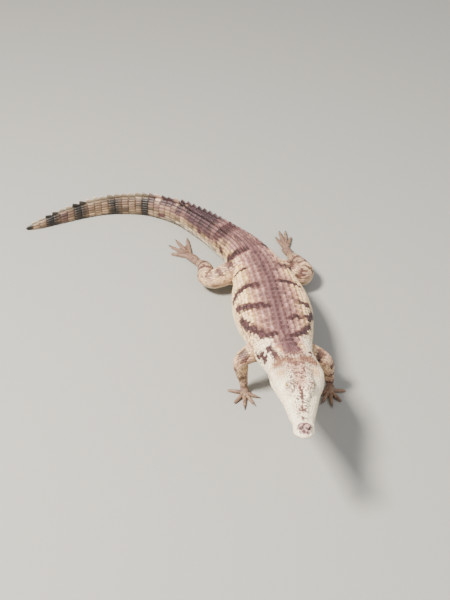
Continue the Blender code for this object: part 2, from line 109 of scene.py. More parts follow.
# the head alone: height of the jaw line, half width of the roof, fullness of the cheek
MOUTH = (
    (0, 0.3), (6, 0.0), (14, -1.0), (23, 1.0), (32, -0.6), (46, -1.6), (60, 0.2),
    (72, 0.6), (84, -0.4), (96, 0.6), (112, 4.0), (126, 6.6), (148, 7.0),
)
ROOF = (
    (0, 3.0), (8, 7.0), (16, 8.6), (24, 6.6), (40, 7.2), (60, 9.6), (74, 13.2),
    (84, 17.0), (92, 16.8), (104, 15.0), (118, 15.6), (126, 15.2), (148, 18.0),
)
CHEEK = (
    (0, 0.95), (24, 0.93), (46, 0.90), (62, 0.81), (76, 0.71), (90, 0.68), (110, 0.72),
    (126, 0.79), (140, 0.88), (148, 0.94),
)


def curve(table, s):
    """Smooth value of a table at the distances s."""
    a = np.array(table, dtype=float)
    x, v = a[:, 0], a[:, 1]
    slope = np.gradient(v, x)
    s = np.clip(s, x[0], x[-1])
    i = np.clip(np.searchsorted(x, s, side="right") - 1, 0, len(x) - 2)
    h = x[i + 1] - x[i]
    t = (s - x[i]) / h
    return ((2 * t**3 - 3 * t**2 + 1) * v[i] + (t**3 - 2 * t**2 + t) * h * slope[i]
            + (3 * t**2 - 2 * t**3) * v[i + 1] + (t**3 - t**2) * h * slope[i + 1])


def smooth(low, high, x):
    """0 below low, 1 above high, and an even S between."""
    t = np.clip((x - low) / (high - low), 0.0, 1.0)
    return t * t * (3.0 - 2.0 * t)


def hump(x, centre, width):
    """Bell of height 1."""
    return np.exp(-((x - centre) / width) ** 2)


def spine_points(s):
    """Centres of the sections, in millimetres, before the animal is centred."""
    plan = np.array(SPINE)
    ahead = s < SNOUT_TO_TABLE
    x = np.where(ahead, SPINE[0][1], curve(plan[:, [0, 1]], s))
    y = np.where(ahead, SPINE[0][2] - (SNOUT_TO_TABLE - s) * math.cos(HEAD_PITCH),
                 curve(plan[:, [0, 2]], s))
    return np.stack([x, y, curve(LEVEL, s)], axis=-1)


def section_frames(s):
    """Centre, side and up directions of the sections at the distances s."""
    s = np.asarray(s, dtype=float)
    centre = spine_points(s)
    ahead = spine_points(s - 2.0) - spine_points(s + 2.0)
    ahead[..., 2] = 0.0
    ahead /= np.linalg.norm(ahead, axis=-1, keepdims=True)
    lean = (HEAD_PITCH * np.clip((215.0 - s) / 90.0, 0.0, 1.0))[..., None]
    up_world = np.array([0.0, 0.0, 1.0])
    forward = ahead * np.cos(lean) + up_world * np.sin(lean)
    up = up_world * np.cos(lean) - ahead * np.sin(lean)
    side = np.cross(up, forward)
    return centre, side / np.linalg.norm(side, axis=-1, keepdims=True), up


# the eyes of the frame say where the tables' own axes lie in it
eye_centres = {}
for name in EYE_SIDES:
    low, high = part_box(name)
    eye_centres[name] = (np.array(low) + np.array(high)) / 2.0 / MM
head_centre, head_side, head_up = [axis[0] for axis in section_frames(np.array([EYES_AT]))]
head_forward = np.cross(head_side, head_up)
eye_plan = head_centre + head_up * EYE_RISE
both_eyes = (eye_centres["eye_left"] + eye_centres["eye_right"]) / 2.0
CENTRING = np.array([both_eyes[0] - eye_plan[0], both_eyes[1] - eye_plan[1], 0.0])


def to_world(s, side, up):
    """World points, in millimetres, for places given across the sections at s."""
    centre, across, upward = section_frames(s)
    return (centre + np.asarray(side)[..., None] * across + np.asarray(up)[..., None] * upward
            + CENTRING)


def roof_height(s, x, inset):
    """Top of the head above the jaw line, with its boss, ridges, brows and table."""
    base = curve(MOUTH, s)
    width = curve(WIDTH, s) - inset
    rise = curve(RISE, s) - base - inset
    roof = curve(ROOF, s)
    side = np.abs(x)
    flank = 1.0 - np.minimum(side / width, 1.0) ** 2.6
    cheek = rise * curve(CHEEK, s) * flank ** 0.46
    table = rise * np.maximum(1.0 - (side / (roof * 1.22)) ** 4.0, 0.0) ** 0.5
    ease = 1.6
    height = 0.5 * (cheek + table + np.sqrt((cheek - table) ** 2 + ease ** 2)) - 0.5 * ease
    height = height * np.minimum(flank * 12.0, 1.0)
    # nostril boss: a round pad with a faint moat
    pad = np.hypot(s - 9.6, side * 0.92)
    height += 0.8 * (1.0 - smooth(6.0, 8.4, pad)) - 0.35 * hump(pad, 8.9, 1.0)
    # paired ridges from the front of the eyes converging down the snout
    ridge_at = 3.6 + 5.6 * smooth(36.0, 78.0, s)
    height += (1.25 * smooth(38.0, 68.0, s) * (1.0 - smooth(76.0, 82.0, s))
               * hump(side, ridge_at, 1.5))
    # trough between the brows, raised brow rims, dished skull table with sharp edges
    height -= 1.9 * hump(s, 83.0, 9.0) * hump(side, 0.0, 5.6)
    height += 0.7 * hump(s, 86.0, 8.0) * hump(side, 9.6, 1.9)
    on_table = smooth(92.0, 98.0, s) * (1.0 - smooth(119.0, 123.0, s))
    height -= on_table * (0.9 * hump(side, 0.0, 7.0) - 0.5 * hump(side, roof * 0.98, 1.4))
    height -= on_table * 0.5 * hump(np.hypot(s - 107.0, side - 7.4), 0.0, 2.6)
    # low fine ridge down the middle of the snout
    height += 0.25 * hump(side, 0.0, 0.7) * smooth(20.0, 34.0, s) * (1.0 - smooth(62.0, 72.0, s))
    return base + height


def head_outline(s, inset):
    """Half of a head section from crown to throat, with the row where the mouth lies."""
    turn = np.radians(np.concatenate([np.linspace(0.0, 80.0, 120), np.linspace(80.3, 90.0, 60)]))
    width = curve(WIDTH, s) - inset
    x = width * np.sin(turn)
    top = np.column_stack([x, roof_height(s, x, inset)])
    sway = curve(MOUTH, s)
    tuck = 1.5 * float(np.clip((118.0 - s) / 30.0, 0.0, 1.0))
    half = width - tuck
    turn = np.radians(np.linspace(0.0, 90.0, 140))
    xl = half * np.cos(turn) ** 0.8
    zl = sway - 0.5 - (sway - 0.5 + curve(DROP, s) - inset) * np.sin(turn) ** 0.72
    crease = float(smooth(1.0, 6.0, s) * (1.0 - smooth(112.0, 124.0, s)))
    groove = np.array([(width - 0.15 - 1.3 * crease, sway - 0.2)])
    outline = np.vstack([top, groove, np.column_stack([xl, zl])])
    return outline, len(top)


def body_outline(s, inset):
    """Half of a neck, trunk or tail section from back to belly."""
    turn = np.radians(np.linspace(90.0, -90.0, 240))
    c, d = np.cos(turn), np.sin(turn)
    tail = float(smooth(430.0, 500.0, s))
    x = (curve(WIDTH, s) - inset) * np.abs(c) ** (0.86 + 0.04 * tail)
    up = (curve(RISE, s) - inset) * np.abs(d) ** (0.84 + 0.06 * tail)
    down = (curve(DROP, s) - inset * 0.4) * np.abs(d) ** (0.70 + 0.02 * tail)
    return np.column_stack([x, np.where(d >= 0.0, up, -down)])


def spread_points(outline, count, mouth_share, mouth_row):
    """Even points along an outline, drawn closer together at the mouth."""
    step = np.linalg.norm(np.diff(outline, axis=0), axis=1)
    run = np.concatenate([[0.0], np.cumsum(step)])
    run /= run[-1]
    here = run[mouth_row] if mouth_row else mouth_share
    u = np.linspace(0.0, 1.0, count + 1)
    lean = 0.45
    below = np.clip((mouth_share - u) / mouth_share, 0.0, 1.0)
    above = np.clip((u - mouth_share) / (1.0 - mouth_share), 0.0, 1.0)
    q = (here - here * (lean * below + (1 - lean) * below**2)
         + (1.0 - here) * (lean * above + (1 - lean) * above**2))
    return np.column_stack([np.interp(q, run, outline[:, k]) for k in (0, 1)])


def half_section(s, count, inset):
    """Points (side, up) from crown to throat at s, blended from head into neck."""
    into_neck = float(smooth(*NECK_BLEND, s))
    shape = 0.0
    if into_neck < 1.0:
        outline, mouth_row = head_outline(min(s, LAST_HEAD_SECTION), inset * 0.3)
        shape = spread_points(outline, count, MOUTH_SHARE, mouth_row) * (1.0 - into_neck)
    if into_neck > 0.0:
        body = body_outline(s, inset)
        shape = shape + spread_points(body, count, MOUTH_SHARE, None) * into_neck
    return shape


def ring_rows(stations, count, inset=SCALE_DEPTH):
    """World points of whole rings: crown, down the left side, belly, up the right side."""
    rows = []
    for s in stations:
        half = half_section(float(s), count, inset)
        side = np.concatenate([half[:, 0], -half[-2:0:-1, 0]])
        up = np.concatenate([half[:, 1], half[-2:0:-1, 1]])
        rows.append(to_world(np.full(len(side), float(s)), side, up))
    return np.array(rows)


def rolled_sheet(edit, rows):
    """Add a grid to the mesh and roll it through the ring points; gives its end rings."""
    count = rows.shape[1]
    made = bmesh.ops.create_grid(edit, x_segments=count, y_segments=len(rows) - 1, size=1.0)
    verts = sorted(made["verts"], key=lambda v: (round(v.co.y, 7), v.co.x))
    points = np.concatenate([rows, rows[:, :1]], axis=1).reshape(-1, 3) * MM
    for v, p in zip(verts, points):
        v.co = p
    width = count + 1
    seam = {}
    for r in range(len(rows)):
        seam[verts[r * width + count]] = verts[r * width]
    bmesh.ops.weld_verts(edit, targetmap=seam)
    return verts[:count], verts[(len(rows) - 1) * width:(len(rows) - 1) * width + count]


CAP_RINGS = ((0.78, 0.45), (0.50, 0.80), (0.22, 0.96))     # size and reach of a rounded end's rings


def ring_edges(ring):
    """Open edges round the end of a tube, always in the same order."""
    return list(dict.fromkeys(e for v in ring for e in v.link_edges if e.is_boundary))


def grown_ring(edit, ring):
    """Extrude the open end of a tube and give the new ring."""
    grown = bmesh.ops.extrude_edge_only(edit, edges=ring_edges(ring))["geom"]
    return [part for part in grown if isinstance(part, bmesh.types.BMVert)]


def close_end(edit, ring, tip):
    """Round off the open end of a tube towards a point ahead of it."""
    middle = sum((v.co for v in ring), Vector()) / len(ring)
    ahead = Vector(tip) - middle
    size, reach = 1.0, 0.0
    for next_size, next_reach in CAP_RINGS:
        ring = grown_ring(edit, ring)
        about = Matrix.Translation(-(middle + ahead * reach))
        bmesh.ops.scale(edit, verts=ring, vec=Vector.Fill(3, next_size / size), space=about)
        bmesh.ops.translate(edit, verts=ring, vec=ahead * (next_reach - reach))
        size, reach = next_size, next_reach
    bmesh.ops.pointmerge(edit, verts=grown_ring(edit, ring), merge_co=middle + ahead)


def spaced(*spans):
    """Section places: each span is start, end, step."""
    return np.concatenate([np.arange(*span) for span in spans])


# the rings have half the points behind the nape, and half again behind the hips
HEAD_COUNT, TRUNK_COUNT, TAIL_COUNT = 120, 60, 30
head_stations = spaced((0.0, 20.0, 0.5), (20.0, 70.0, 1.0), (70.0, 98.0, 0.7),
                       (98.0, 152.01, 1.2))
trunk_stations = spaced((153.8, 462.1, 2.35))
tail_stations = spaced((464.6, 912.0, 2.5))
hide = bmesh.new()
snout_ring, nape_ring = rolled_sheet(hide, ring_rows(head_stations, HEAD_COUNT))
neck_ring, rump_ring = rolled_sheet(hide, ring_rows(trunk_stations, TRUNK_COUNT))
root_ring, end_ring = rolled_sheet(hide, ring_rows(tail_stations, TAIL_COUNT))
for fine, coarse in ((nape_ring, neck_ring), (rump_ring, root_ring)):
    bmesh.ops.bridge_loops(hide, edges=ring_edges(fine) + ring_edges(coarse))
close_end(hide, snout_ring, to_world(np.array([-1.6]), [0.0], [1.6])[0] * MM)
close_end(hide, end_ring, to_world(np.array([915.5]), [0.0], [0.0])[0] * MM)
bmesh.ops.recalc_face_normals(hide, faces=hide.faces)


# --------------------------------------------------------------------------------------
# Skin of the legs, grown into the body skin.
# Upper leg, lower leg, palm, digits and the webs of the hind feet are tubes melted into one
# soft shape, joined to the trunk without a seam and eased at shoulder, hip and groin.
# --------------------------------------------------------------------------------------
# stations down each leg: x, y, height and the two half thicknesses
LEGS = {
    "arm_right": ((56, 1016, 66, 14, 15), (35, 1010, 62, 12.0, 12.8), (20.5, 1003, 53, 9.0, 9.8),
                  (21, 1003.5, 43, 9.3, 9.6), (22.5, 1004, 30, 7.6, 7.9),
                  (24.5, 1003.5, 17, 5.7, 6.0), (25.5, 1001, 10.0, 4.9, 5.1)),
    "arm_left": ((94, 1012, 66, 14, 15), (115, 1008, 62, 12.0, 12.8), (133, 1003, 53, 9.0, 9.8),
                 (135, 1004, 43, 9.3, 9.6), (137.5, 1006, 30, 7.6, 7.9),
                 (140, 1007.5, 17, 5.7, 6.0), (141, 1006, 10.0, 4.9, 5.1)),
    "leg_right": ((36, 1222, 33, 17.5, 18), (6, 1217, 31, 16, 16.6), (-18, 1210, 26, 13.2, 14),
                  (-28, 1220, 22.5, 12.6, 13.4), (-29, 1240, 19, 11.4, 12),
                  (-34, 1257, 14, 8.2, 8.8), (-40, 1269, 9.5, 5.6, 5.8)),
    "leg_left": ((70, 1222, 33, 17.5, 18), (96, 1221, 31, 16, 16.6), (115, 1217, 26, 13.2, 14),
                 (120, 1229, 22.5, 12.6, 13.4), (116, 1250, 18.5, 11.2, 11.8),
                 (107, 1274, 13.5, 8.0, 8.6), (101, 1289, 9.0, 5.4, 5.6)),
}
# wrist or ankle, middle of the palm, and the tips of the digits
PAWS = {
    "arm_right": ((25.5, 1003, 10.5), (26, 995, 3.0),
                  ((42, 989), (37.5, 977), (26, 971.5), (13, 978), (5, 1001))),
    "arm_left": ((141, 1008, 10.5), (141, 999, 3.0),
                 ((126, 992), (130, 980), (142, 975), (154, 981), (161, 1000))),
    "leg_right": ((-38, 1266, 11), (-54, 1293, 3.4),
                  ((-60, 1338), (-76, 1334), (-84, 1320), (-83, 1302))),
    "leg_left": ((101, 1286, 11), (96, 1311, 3.4),
                 ((83, 1341), (88, 1357), (97, 1357), (105, 1344))),
}
FINGER_RADIUS = 2.5
TOE_RADIUS = 2.9
WEB_STEPS = (0.12, 0.24, 0.36, 0.48, 0.60, 0.70)           # shares of the toes that webs reach
LEG_FACES = 8600
VOXEL = 0.62
SEAM_REACH = 5.0           # how far from both surfaces the joins are eased
SEAM_PASSES = 14


def limb_path(stations, step):
    """Centres, radii and cross directions along one leg or digit."""
    pts = np.array(stations, dtype=float)
    run = np.concatenate([[0.0], np.cumsum(np.linalg.norm(np.diff(pts[:, :3], axis=0), axis=1))])
    fine = np.linspace(0.0, run[-1], max(int(run[-1] / step), 3) + 1)
    path = np.column_stack([curve(np.column_stack([run, pts[:, k]]), fine) for k in range(5)])
    ahead = np.gradient(path[:, :3], axis=0)
    ahead /= np.linalg.norm(ahead, axis=1)[:, None]
    steep = abs(pts[-1, 2] - pts[0, 2]) > 30.0
    first = np.cross(ahead, [0.0, 1.0, 0.0] if steep else [0.0, 0.0, 1.0])
    first /= np.linalg.norm(first, axis=1)[:, None]
    second = np.cross(first, ahead)
    return fine, path[:, :3] + CENTRING, path[:, 3:], ahead, first, second


def limb_tube(edit, stations, sides, step):
    """Closed tube with rounded ends added to the mesh."""
    fine, centre, radii, ahead, first, second = limb_path(stations, step)
    turn = np.linspace(0.0, 2.0 * np.pi, sides, endpoint=False)
    rows = (centre[:, None] + radii[:, :1, None] * np.cos(turn)[None, :, None] * first[:, None]
            + radii[:, 1:, None] * np.sin(turn)[None, :, None] * second[:, None])
    start, end = rolled_sheet(edit, rows)
    close_end(edit, start, (centre[0] - ahead[0] * radii[0].mean() * 0.8) * MM)
    close_end(edit, end, (centre[-1] + ahead[-1] * radii[-1].mean() * 0.9) * MM)


def paw_plan(leg):
    """Palm tube, digit tubes and pointing directions of one hand or foot."""
    wrist, palm, tips = PAWS[leg]
    radius = FINGER_RADIUS if leg.startswith("arm") else TOE_RADIUS
    wrist, palm = np.array(wrist, dtype=float), np.array(palm, dtype=float)
    back = wrist * 0.75 + palm * 0.25
    ahead = (palm - wrist) / np.linalg.norm(palm - wrist)
    palm_tube = ((*back, radius * 1.9, radius * 1.8),
                 (*(palm - ahead * 3 + [0, 0, 1.0]), radius * 2.5, radius * 1.5),
                 (*(palm + ahead * radius * 1.2), radius * 2.4, radius * 1.15))
    digits = []
    for tip in tips:
        tip = np.array([*tip, radius * 0.72])
        offset = tip - palm
        offset[2] = 0.0
        offset /= np.linalg.norm(offset)
        root = palm + offset * radius * 1.1
        root[2] = radius * 1.15
        first = root * 0.68 + tip * 0.32 + [0, 0, radius * 0.18]
        knuckle = root * 0.40 + tip * 0.60
        knuckle[2] = radius * 0.95
        pointing = (tip - knuckle) / np.linalg.norm(tip - knuckle)
        digits.append((((*root, radius * 1.0, radius * 1.05), (*first, radius * 1.04, radius * 1.0),
                        (*knuckle, radius * 0.92, radius * 0.95),
                        (*(knuckle * 0.45 + tip * 0.55), radius * 0.82, radius * 0.84),
                        (*tip, radius * 0.70, radius * 0.72)), tip, pointing))
    return palm, palm_tube, digits, radius


def add_webs(edit, digits):
    """Thin bridges between neighbouring toes, sagging towards the palm."""
    for (toe_a, tip_a, way_a), (toe_b, tip_b, way_b) in zip(digits[:-1], digits[1:]):
        root_a, root_b = np.array(toe_a[0][:3]), np.array(toe_b[0][:3])
        for share in WEB_STEPS:
            a = root_a * (1 - share) + tip_a * share
            b = root_b * (1 - share) + tip_b * share
            middle = (a + b) / 2.0
            back = (middle - (root_a + root_b) / 2.0) * 0.16 * share / WEB_STEPS[-1]
            thick = 1.25 - 0.55 * share
            limb_tube(edit, ((*a, 2.2, thick), (*(middle - back - [0, 0, 0.5]), 2.6, thick * 0.9),
                             (*b, 2.2, thick)), 8, 1.2)


def melted(edit, name):
    """Turn overlapping tubes into one even surface."""
    mesh = bpy.data.meshes.new(name)
    edit.to_mesh(mesh)
    edit.free()
    obj = bpy.data.objects.new(name, mesh)
    bpy.context.scene.collection.objects.link(obj)
    melt = obj.modifiers.new("melt", "REMESH")
    melt.mode = "VOXEL"
    melt.voxel_size = VOXEL * MM
    ease = obj.modifiers.new("ease", "SMOOTH")
    ease.factor = 0.5
    ease.iterations = 9
    dense = obj.evaluated_get(bpy.context.evaluated_depsgraph_get()).data
    thin = obj.modifiers.new("thin", "DECIMATE")
    thin.ratio = LEG_FACES / (2.0 * len(dense.polygons))
    done = obj.evaluated_get(bpy.context.evaluated_depsgraph_get())
    done = bpy.data.meshes.new_from_object(done)
    bpy.data.objects.remove(obj)
    return done


limb_meshes = {}
for leg, stations in LEGS.items():
    edit = bmesh.new()
    limb_tube(edit, stations, 24, 2.0)
    palm, palm_tube, digits, radius = paw_plan(leg)
    limb_tube(edit, palm_tube, 20, 1.5)
    for digit, tip, pointing in digits:
        limb_tube(edit, digit, 14, 1.0)
    if leg.startswith("leg"):
        add_webs(edit, digits)
    limb_meshes[leg] = melted(edit, leg)

hide_mesh = bpy.data.meshes.new("hide")
hide.to_mesh(hide_mesh)
trunk_tree = BVHTree.FromBMesh(hide)
hide.free()
hide_object = bpy.data.objects.new("hide", hide_mesh)
bpy.context.scene.collection.objects.link(hide_object)
limb_trees = []
for leg, mesh in limb_meshes.items():
    limb_trees.append(BVHTree.FromPolygons([v.co for v in mesh.vertices],
                                           [p.vertices for p in mesh.polygons]))
    limb_object = bpy.data.objects.new(leg, mesh)
    bpy.context.scene.collection.objects.link(limb_object)
    join = hide_object.modifiers.new("join", "BOOLEAN")
    join.operation = "UNION"
    join.solver = "MANIFOLD"
    join.object = limb_object
    joined = hide_object.evaluated_get(bpy.context.evaluated_depsgraph_get())
    joined = bpy.data.meshes.new_from_object(joined)
    hide_object.modifiers.clear()
    hide_object.data = joined
    bpy.data.objects.remove(limb_object)

edit = bmesh.new()
edit.from_mesh(hide_object.data)
bpy.data.objects.remove(hide_object)
bmesh.ops.triangulate(edit, faces=edit.faces)


def touches(tree, place):
    """Whether a surface passes within the reach of the seams."""
    return tree.find_nearest(place, SEAM_REACH * MM)[0] is not None


seams = [v for v in edit.verts if any(touches(tree, v.co) for tree in limb_trees)
         and touches(trunk_tree, v.co)]
for repeat in range(SEAM_PASSES):
    bmesh.ops.smooth_vert(edit, verts=seams, factor=0.5, use_axis_x=True, use_axis_y=True,
                          use_axis_z=True)


# --------------------------------------------------------------------------------------
# Lids and folds of the head, worked into the same skin.
# Each eye lies under a bony brow in an almond opening between two lids; behind it a long
# ear slit runs under the edge of the skull table, and soft folds mark the jaw corner.
# --------------------------------------------------------------------------------------
EYE_RADIUS = 5.45
LID_RADIUS = 5.95
FLOOR_LIFT = 0.45          # thickness of the scales between skin and floor
# edges cut round the eyes: reach and longest edge in millimetres, and least facing of the gaze
LID_CUTS = ((8.6, 0.42, 0.15), (7.4, 0.27, 0.5))
NOSE_REACH, NOSE_EDGE = 8.6, 0.45          # the same round the nostrils
eye_axes = {}
for name, sign in EYE_SIDES.items():
    gaze = head_side * sign * 0.90 + head_forward * 0.20 + head_up * 0.34
    gaze /= np.linalg.norm(gaze)
    along = head_forward - gaze * head_forward.dot(gaze)
    along /= np.linalg.norm(along)
    above = np.cross(gaze, along) * -sign
    if above.dot(head_up) < 0.0:
        above = -above
    eye_axes[name] = (eye_centres[name], gaze, along, above)


def lid_margin(a, b):
    """Distance inside the almond opening, for places on the eyeball in millimetres."""
    arch = np.clip(1.0 - (np.abs(a + 0.25) / 5.0) ** 2.0, 0.0, 1.0) ** 0.75
    return np.minimum(2.35 * arch - b, b + 2.5 * arch) - 0.25 * (np.abs(a + 0.25) > 5.0)


def faces_eye(e, reach, facing):
    """Whether an edge lies before one of the eyes."""
    for centre, gaze, along, above in eye_axes.values():
        middle = Vector(centre * MM)
        ray = (e.verts[0].co + e.verts[1].co) / 2.0 - middle
        if (e.verts[0].co - middle).length < reach * 1.2 * MM:
            if ray.length > 0.0 and ray.normalized().dot(Vector(gaze)) > facing:
                return True
    return False


for reach, longest, facing in LID_CUTS:
    coarse = [e for e in edit.edges if e.calc_length() > longest * MM]
    coarse = [e for e in coarse if faces_eye(e, reach, facing)]
    bmesh.ops.subdivide_edges(edit, edges=coarse, cuts=1)
    bmesh.ops.triangulate(edit, faces=edit.faces)
nose = Vector(to_world(np.array([8.0]), [0.0], [10.6])[0] * MM)
coarse = [e for e in edit.edges if e.calc_length() > NOSE_EDGE * MM]
coarse = [e for e in coarse if (e.verts[0].co - nose).length < NOSE_REACH * MM]
bmesh.ops.subdivide_edges(edit, edges=coarse, cuts=1)
bmesh.ops.triangulate(edit, faces=edit.faces)
edit.verts.ensure_lookup_table()
edit.normal_update()
place = np.array([v.co for v in edit.verts]) / MM
face_out = np.array([v.normal for v in edit.verts])

for centre, gaze, along, above in eye_axes.values():
    offset = place - centre
    reach = np.linalg.norm(offset, axis=1)
    crown = gaze + head_up * 0.85
    crown /= np.linalg.norm(crown)
    near = np.where((reach < 12.5) & (offset @ crown > -3.5))[0]
    ray = offset[near] / reach[near, None]
    a = EYE_RADIUS * np.arctan2(ray @ along, np.maximum(ray @ gaze, 0.05))
    b = EYE_RADIUS * np.arctan2(ray @ above, np.maximum(ray @ gaze, 0.05))
    margin = lid_margin(a, b)
    old = reach[near]
    rim = LID_RADIUS + 0.40 * hump(margin, -0.70, 0.50) - 0.26 * hump(margin, -1.75, 0.42)
    rim = rim + 0.22 * hump(margin, -2.6, 0.42) - 0.16 * hump(margin, -3.5, 0.4)
    bulge = 0.5 * (old + rim + np.sqrt((old - rim) ** 2 + 7.0)) - 0.45
    draw = np.exp(-(np.maximum(-margin, 0.0) / 1.9) ** 2) * smooth(0.1, 0.45, ray @ gaze)
    outer = bulge * (1.0 - draw) + np.minimum(rim, bulge) * draw
    inside = smooth(-0.10, 0.14, margin) * smooth(0.2, 0.3, ray @ gaze)
    fresh = outer * (1.0 - inside) + (EYE_RADIUS - 0.45) * inside
    fade = smooth(-0.30, 0.05, ray @ crown)
    fresh = old + (fresh - old) * fade
    place[near] = centre + ray * fresh[:, None]

# folds as lines along the head: points of distance, side and height, then width and depth;
# nostrils, ear slits and their upper lips, jaw corners, hollows under the eyes, neck folds,
# and furrows before the eyes
NOSTRIL = ((8.0, 1.9), (6.5, 1.9), (5.3, 2.8), (4.9, 4.2), (5.6, 5.4), (6.8, 6.0))
FOLDS = (
    (tuple((s, x, float(roof_height(s, np.array([x]), SCALE_DEPTH)[0])) for s, x in NOSTRIL),
     0.70, 1.8),
    (((96.5, 19.6, 19.6), (103, 20.6, 20.2), (110, 21.2, 20.0), (115, 21.0, 19.0)), 0.75, 1.1),
    (((97.5, 20.2, 17.2), (104, 21.6, 17.2), (111, 22.4, 17.0)), 0.9, -0.45),
    (((118, 31.0, 3.6), (124, 32.4, 5.0), (130, 33.6, 5.8), (136, 33.8, 5.4)), 0.9, 0.8),
    (((72, 17.0, 13.6), (77, 18.0, 14.6), (84, 19.0, 15.2), (91, 20.2, 15.4)), 1.0, 0.45),
    (((137, 33.0, 12.0), (139, 34.0, 4.0), (138, 32.0, -6.0), (136, 24.0, -14.0)), 1.4, 0.6),
    (((145, 31.0, 14.0), (147, 33.0, 4.0), (146, 31.0, -8.0), (144, 20.0, -17.0)), 1.5, 0.7),
    (((60, 9.6, 10.8), (66, 11.0, 12.4), (72, 12.8, 14.2), (77, 14.6, 16.4)), 0.9, 0.35),
)
for line, wide, deep in FOLDS:
    for sign in (1.0, -1.0):
        knots = np.array(line, dtype=float)
        fine = np.linspace(0, len(knots) - 1, 60)
        order = np.arange(len(knots))
        path = np.column_stack([curve(np.column_stack([order, k]), fine) for k in knots.T])
        path = to_world(path[:, 0], path[:, 1] * sign, path[:, 2])
        low, high = path.min(axis=0) - 6.0, path.max(axis=0) + 6.0
        near = np.where(np.all((place > low) & (place < high), axis=1))[0]
        gap = np.linalg.norm(place[near, None] - path[None], axis=2)
        best = gap.argmin(axis=1)
        taper = np.sin(np.pi * (0.08 + 0.84 * best / 59.0))
        push = deep * taper * np.exp(-(gap.min(axis=1) / wide) ** 2)
        place[near] -= face_out[near] * push[:, None]

# fine wrinkles over the bones of the head
from_eyes = place - CENTRING - head_centre
on_head = (np.linalg.norm(from_eyes, axis=1) < 92.0) & (from_eyes @ -head_forward < 44.0)
for k in np.where(on_head)[0]:
    spot = Vector(place[k])
    rough = 0.16 * noise.noise(spot * 0.42) + 0.12 * noise.noise(spot * 1.05)
    place[k] += face_out[k] * rough

# nothing passes the floor, less the thickness of the scales below
place[:, 2] = np.maximum(place[:, 2], FLOOR_LIFT)
for v, p in zip(edit.verts, place):
    v.co = p * MM
bmesh.ops.dissolve_degenerate(edit, edges=edit.edges, dist=1e-6)
bmesh.ops.triangulate(edit, faces=edit.faces)
bmesh.ops.recalc_face_normals(edit, faces=edit.faces)
edit.normal_update()


def finished(edit, name):
    """Smooth-shaded object at the origin, made from a bmesh."""
    mesh = bpy.data.meshes.new(name)
    edit.to_mesh(mesh)
    edit.free()
    mesh.shade_smooth()
    obj = bpy.data.objects.new(name, mesh)
    bpy.context.scene.collection.objects.link(obj)
    return obj


skin = finished(edit, "skin")
skin_mesh = skin.data
FLESH_NODES = ["upper_head", "lower_jaw", "neck", "chest", "belly_and_hips", "tail_1", "tail_2",
               "tail_3", "tail_4", "tail_5", "arm_left", "arm_right", "forearm_left",
               "forearm_right", "hand_left", "hand_right", "thigh_left", "thigh_right",
               "shank_left", "shank_right", "foot_left", "foot_right"]
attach(skin, "root")
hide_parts(*FLESH_NODES)


# --------------------------------------------------------------------------------------
# Markings shared by skin and scales.
# Living pigment: a purple-brown back with a dark middle stripe and broken dark bars over
# straw-yellow flanks, banded tail, blotched pale neck, cream head and spotted legs.
# Painted shade also darkens the nostril slits, the mouth line, part of the tail and the hide
# between the scales.
# --------------------------------------------------------------------------------------
SIDE_STEPS = 80


def body_patch():
    """Even grid of places over head, trunk and tail, by distance and share of half girth."""
    s_rows = np.arange(0.0, 914.01, 1.0)
    points, girths, lips = [], [], []
    share = np.linspace(0.0, 1.0, SIDE_STEPS + 1)
    for s in s_rows:
        half = half_section(float(s), HEAD_COUNT, SCALE_DEPTH)
        run = np.concatenate([[0.0], np.cumsum(np.linalg.norm(np.diff(half, axis=0), axis=1))])
        girths.append(run[-1])
        lips.append(run[round(MOUTH_SHARE * HEAD_COUNT)] / run[-1])
        side = np.interp(share, run / run[-1], half[:, 0])
        up = np.interp(share, run / run[-1], half[:, 1])
        points.append(to_world(np.full(2 * SIDE_STEPS + 1, s),
                               np.concatenate([-side[:0:-1], side]),
                               np.concatenate([up[:0:-1], up])))
    return {"points": np.array(points), "u0": 0.0, "du": 1.0, "v0": -1.0, "dv": 1.0 / SIDE_STEPS,
            "girth": np.array(girths), "lips": np.array(lips), "name": "body"}


def limb_patch(name, stations, step, sides, reach):
    """Places where rays from the axis of a leg or digit meet the skin."""
    fine, centre, radii, ahead, first, second = limb_path(stations, step)
    points = np.full((len(fine), sides + 1, 3), np.nan)
    for i in range(len(fine)):
        for j in range(sides + 1):
            turn = math.pi * (2.0 * j / sides - 1.0)
            ray = math.cos(turn) * first[i] + math.sin(turn) * second[i]
            limit = reach * radii[i].mean()
            hit = skin_tree.ray_cast(Vector(centre[i] * MM), Vector(ray), limit * MM)[0]
            if hit is not None:
                points[i, j] = np.array(hit) / MM
    return {"points": points, "u0": 0.0, "du": fine[1] - fine[0], "v0": -1.0, "dv": 2.0 / sides,
            "girth": np.pi * radii.mean(axis=1), "name": name, "length": fine[-1],
            "axis": centre}


def half_girth(patch, u):
    """Half the distance round the patch at u."""
    rows = np.arange(len(patch["girth"])) * patch["du"] + patch["u0"]
    return np.interp(u, rows, patch["girth"])


skin_tree = BVHTree.FromPolygons([v.co for v in skin_mesh.vertices],
                                 [p.vertices for p in skin_mesh.polygons])
body = body_patch()
patches = {"body": body}
for leg, stations in LEGS.items():
    patches[leg] = limb_patch(leg, stations, 1.5, 36, 1.45)
    palm, palm_tube, digits, radius = paw_plan(leg)
    patches[leg + "_palm"] = limb_patch(leg + "_palm", palm_tube, 1.0, 24, 2.1)
    for number, (digit, tip, pointing) in enumerate(digits):
        name = "%s_digit_%d" % (leg, number)
        patches[name] = limb_patch(name, digit, 0.7, 16, 1.5)

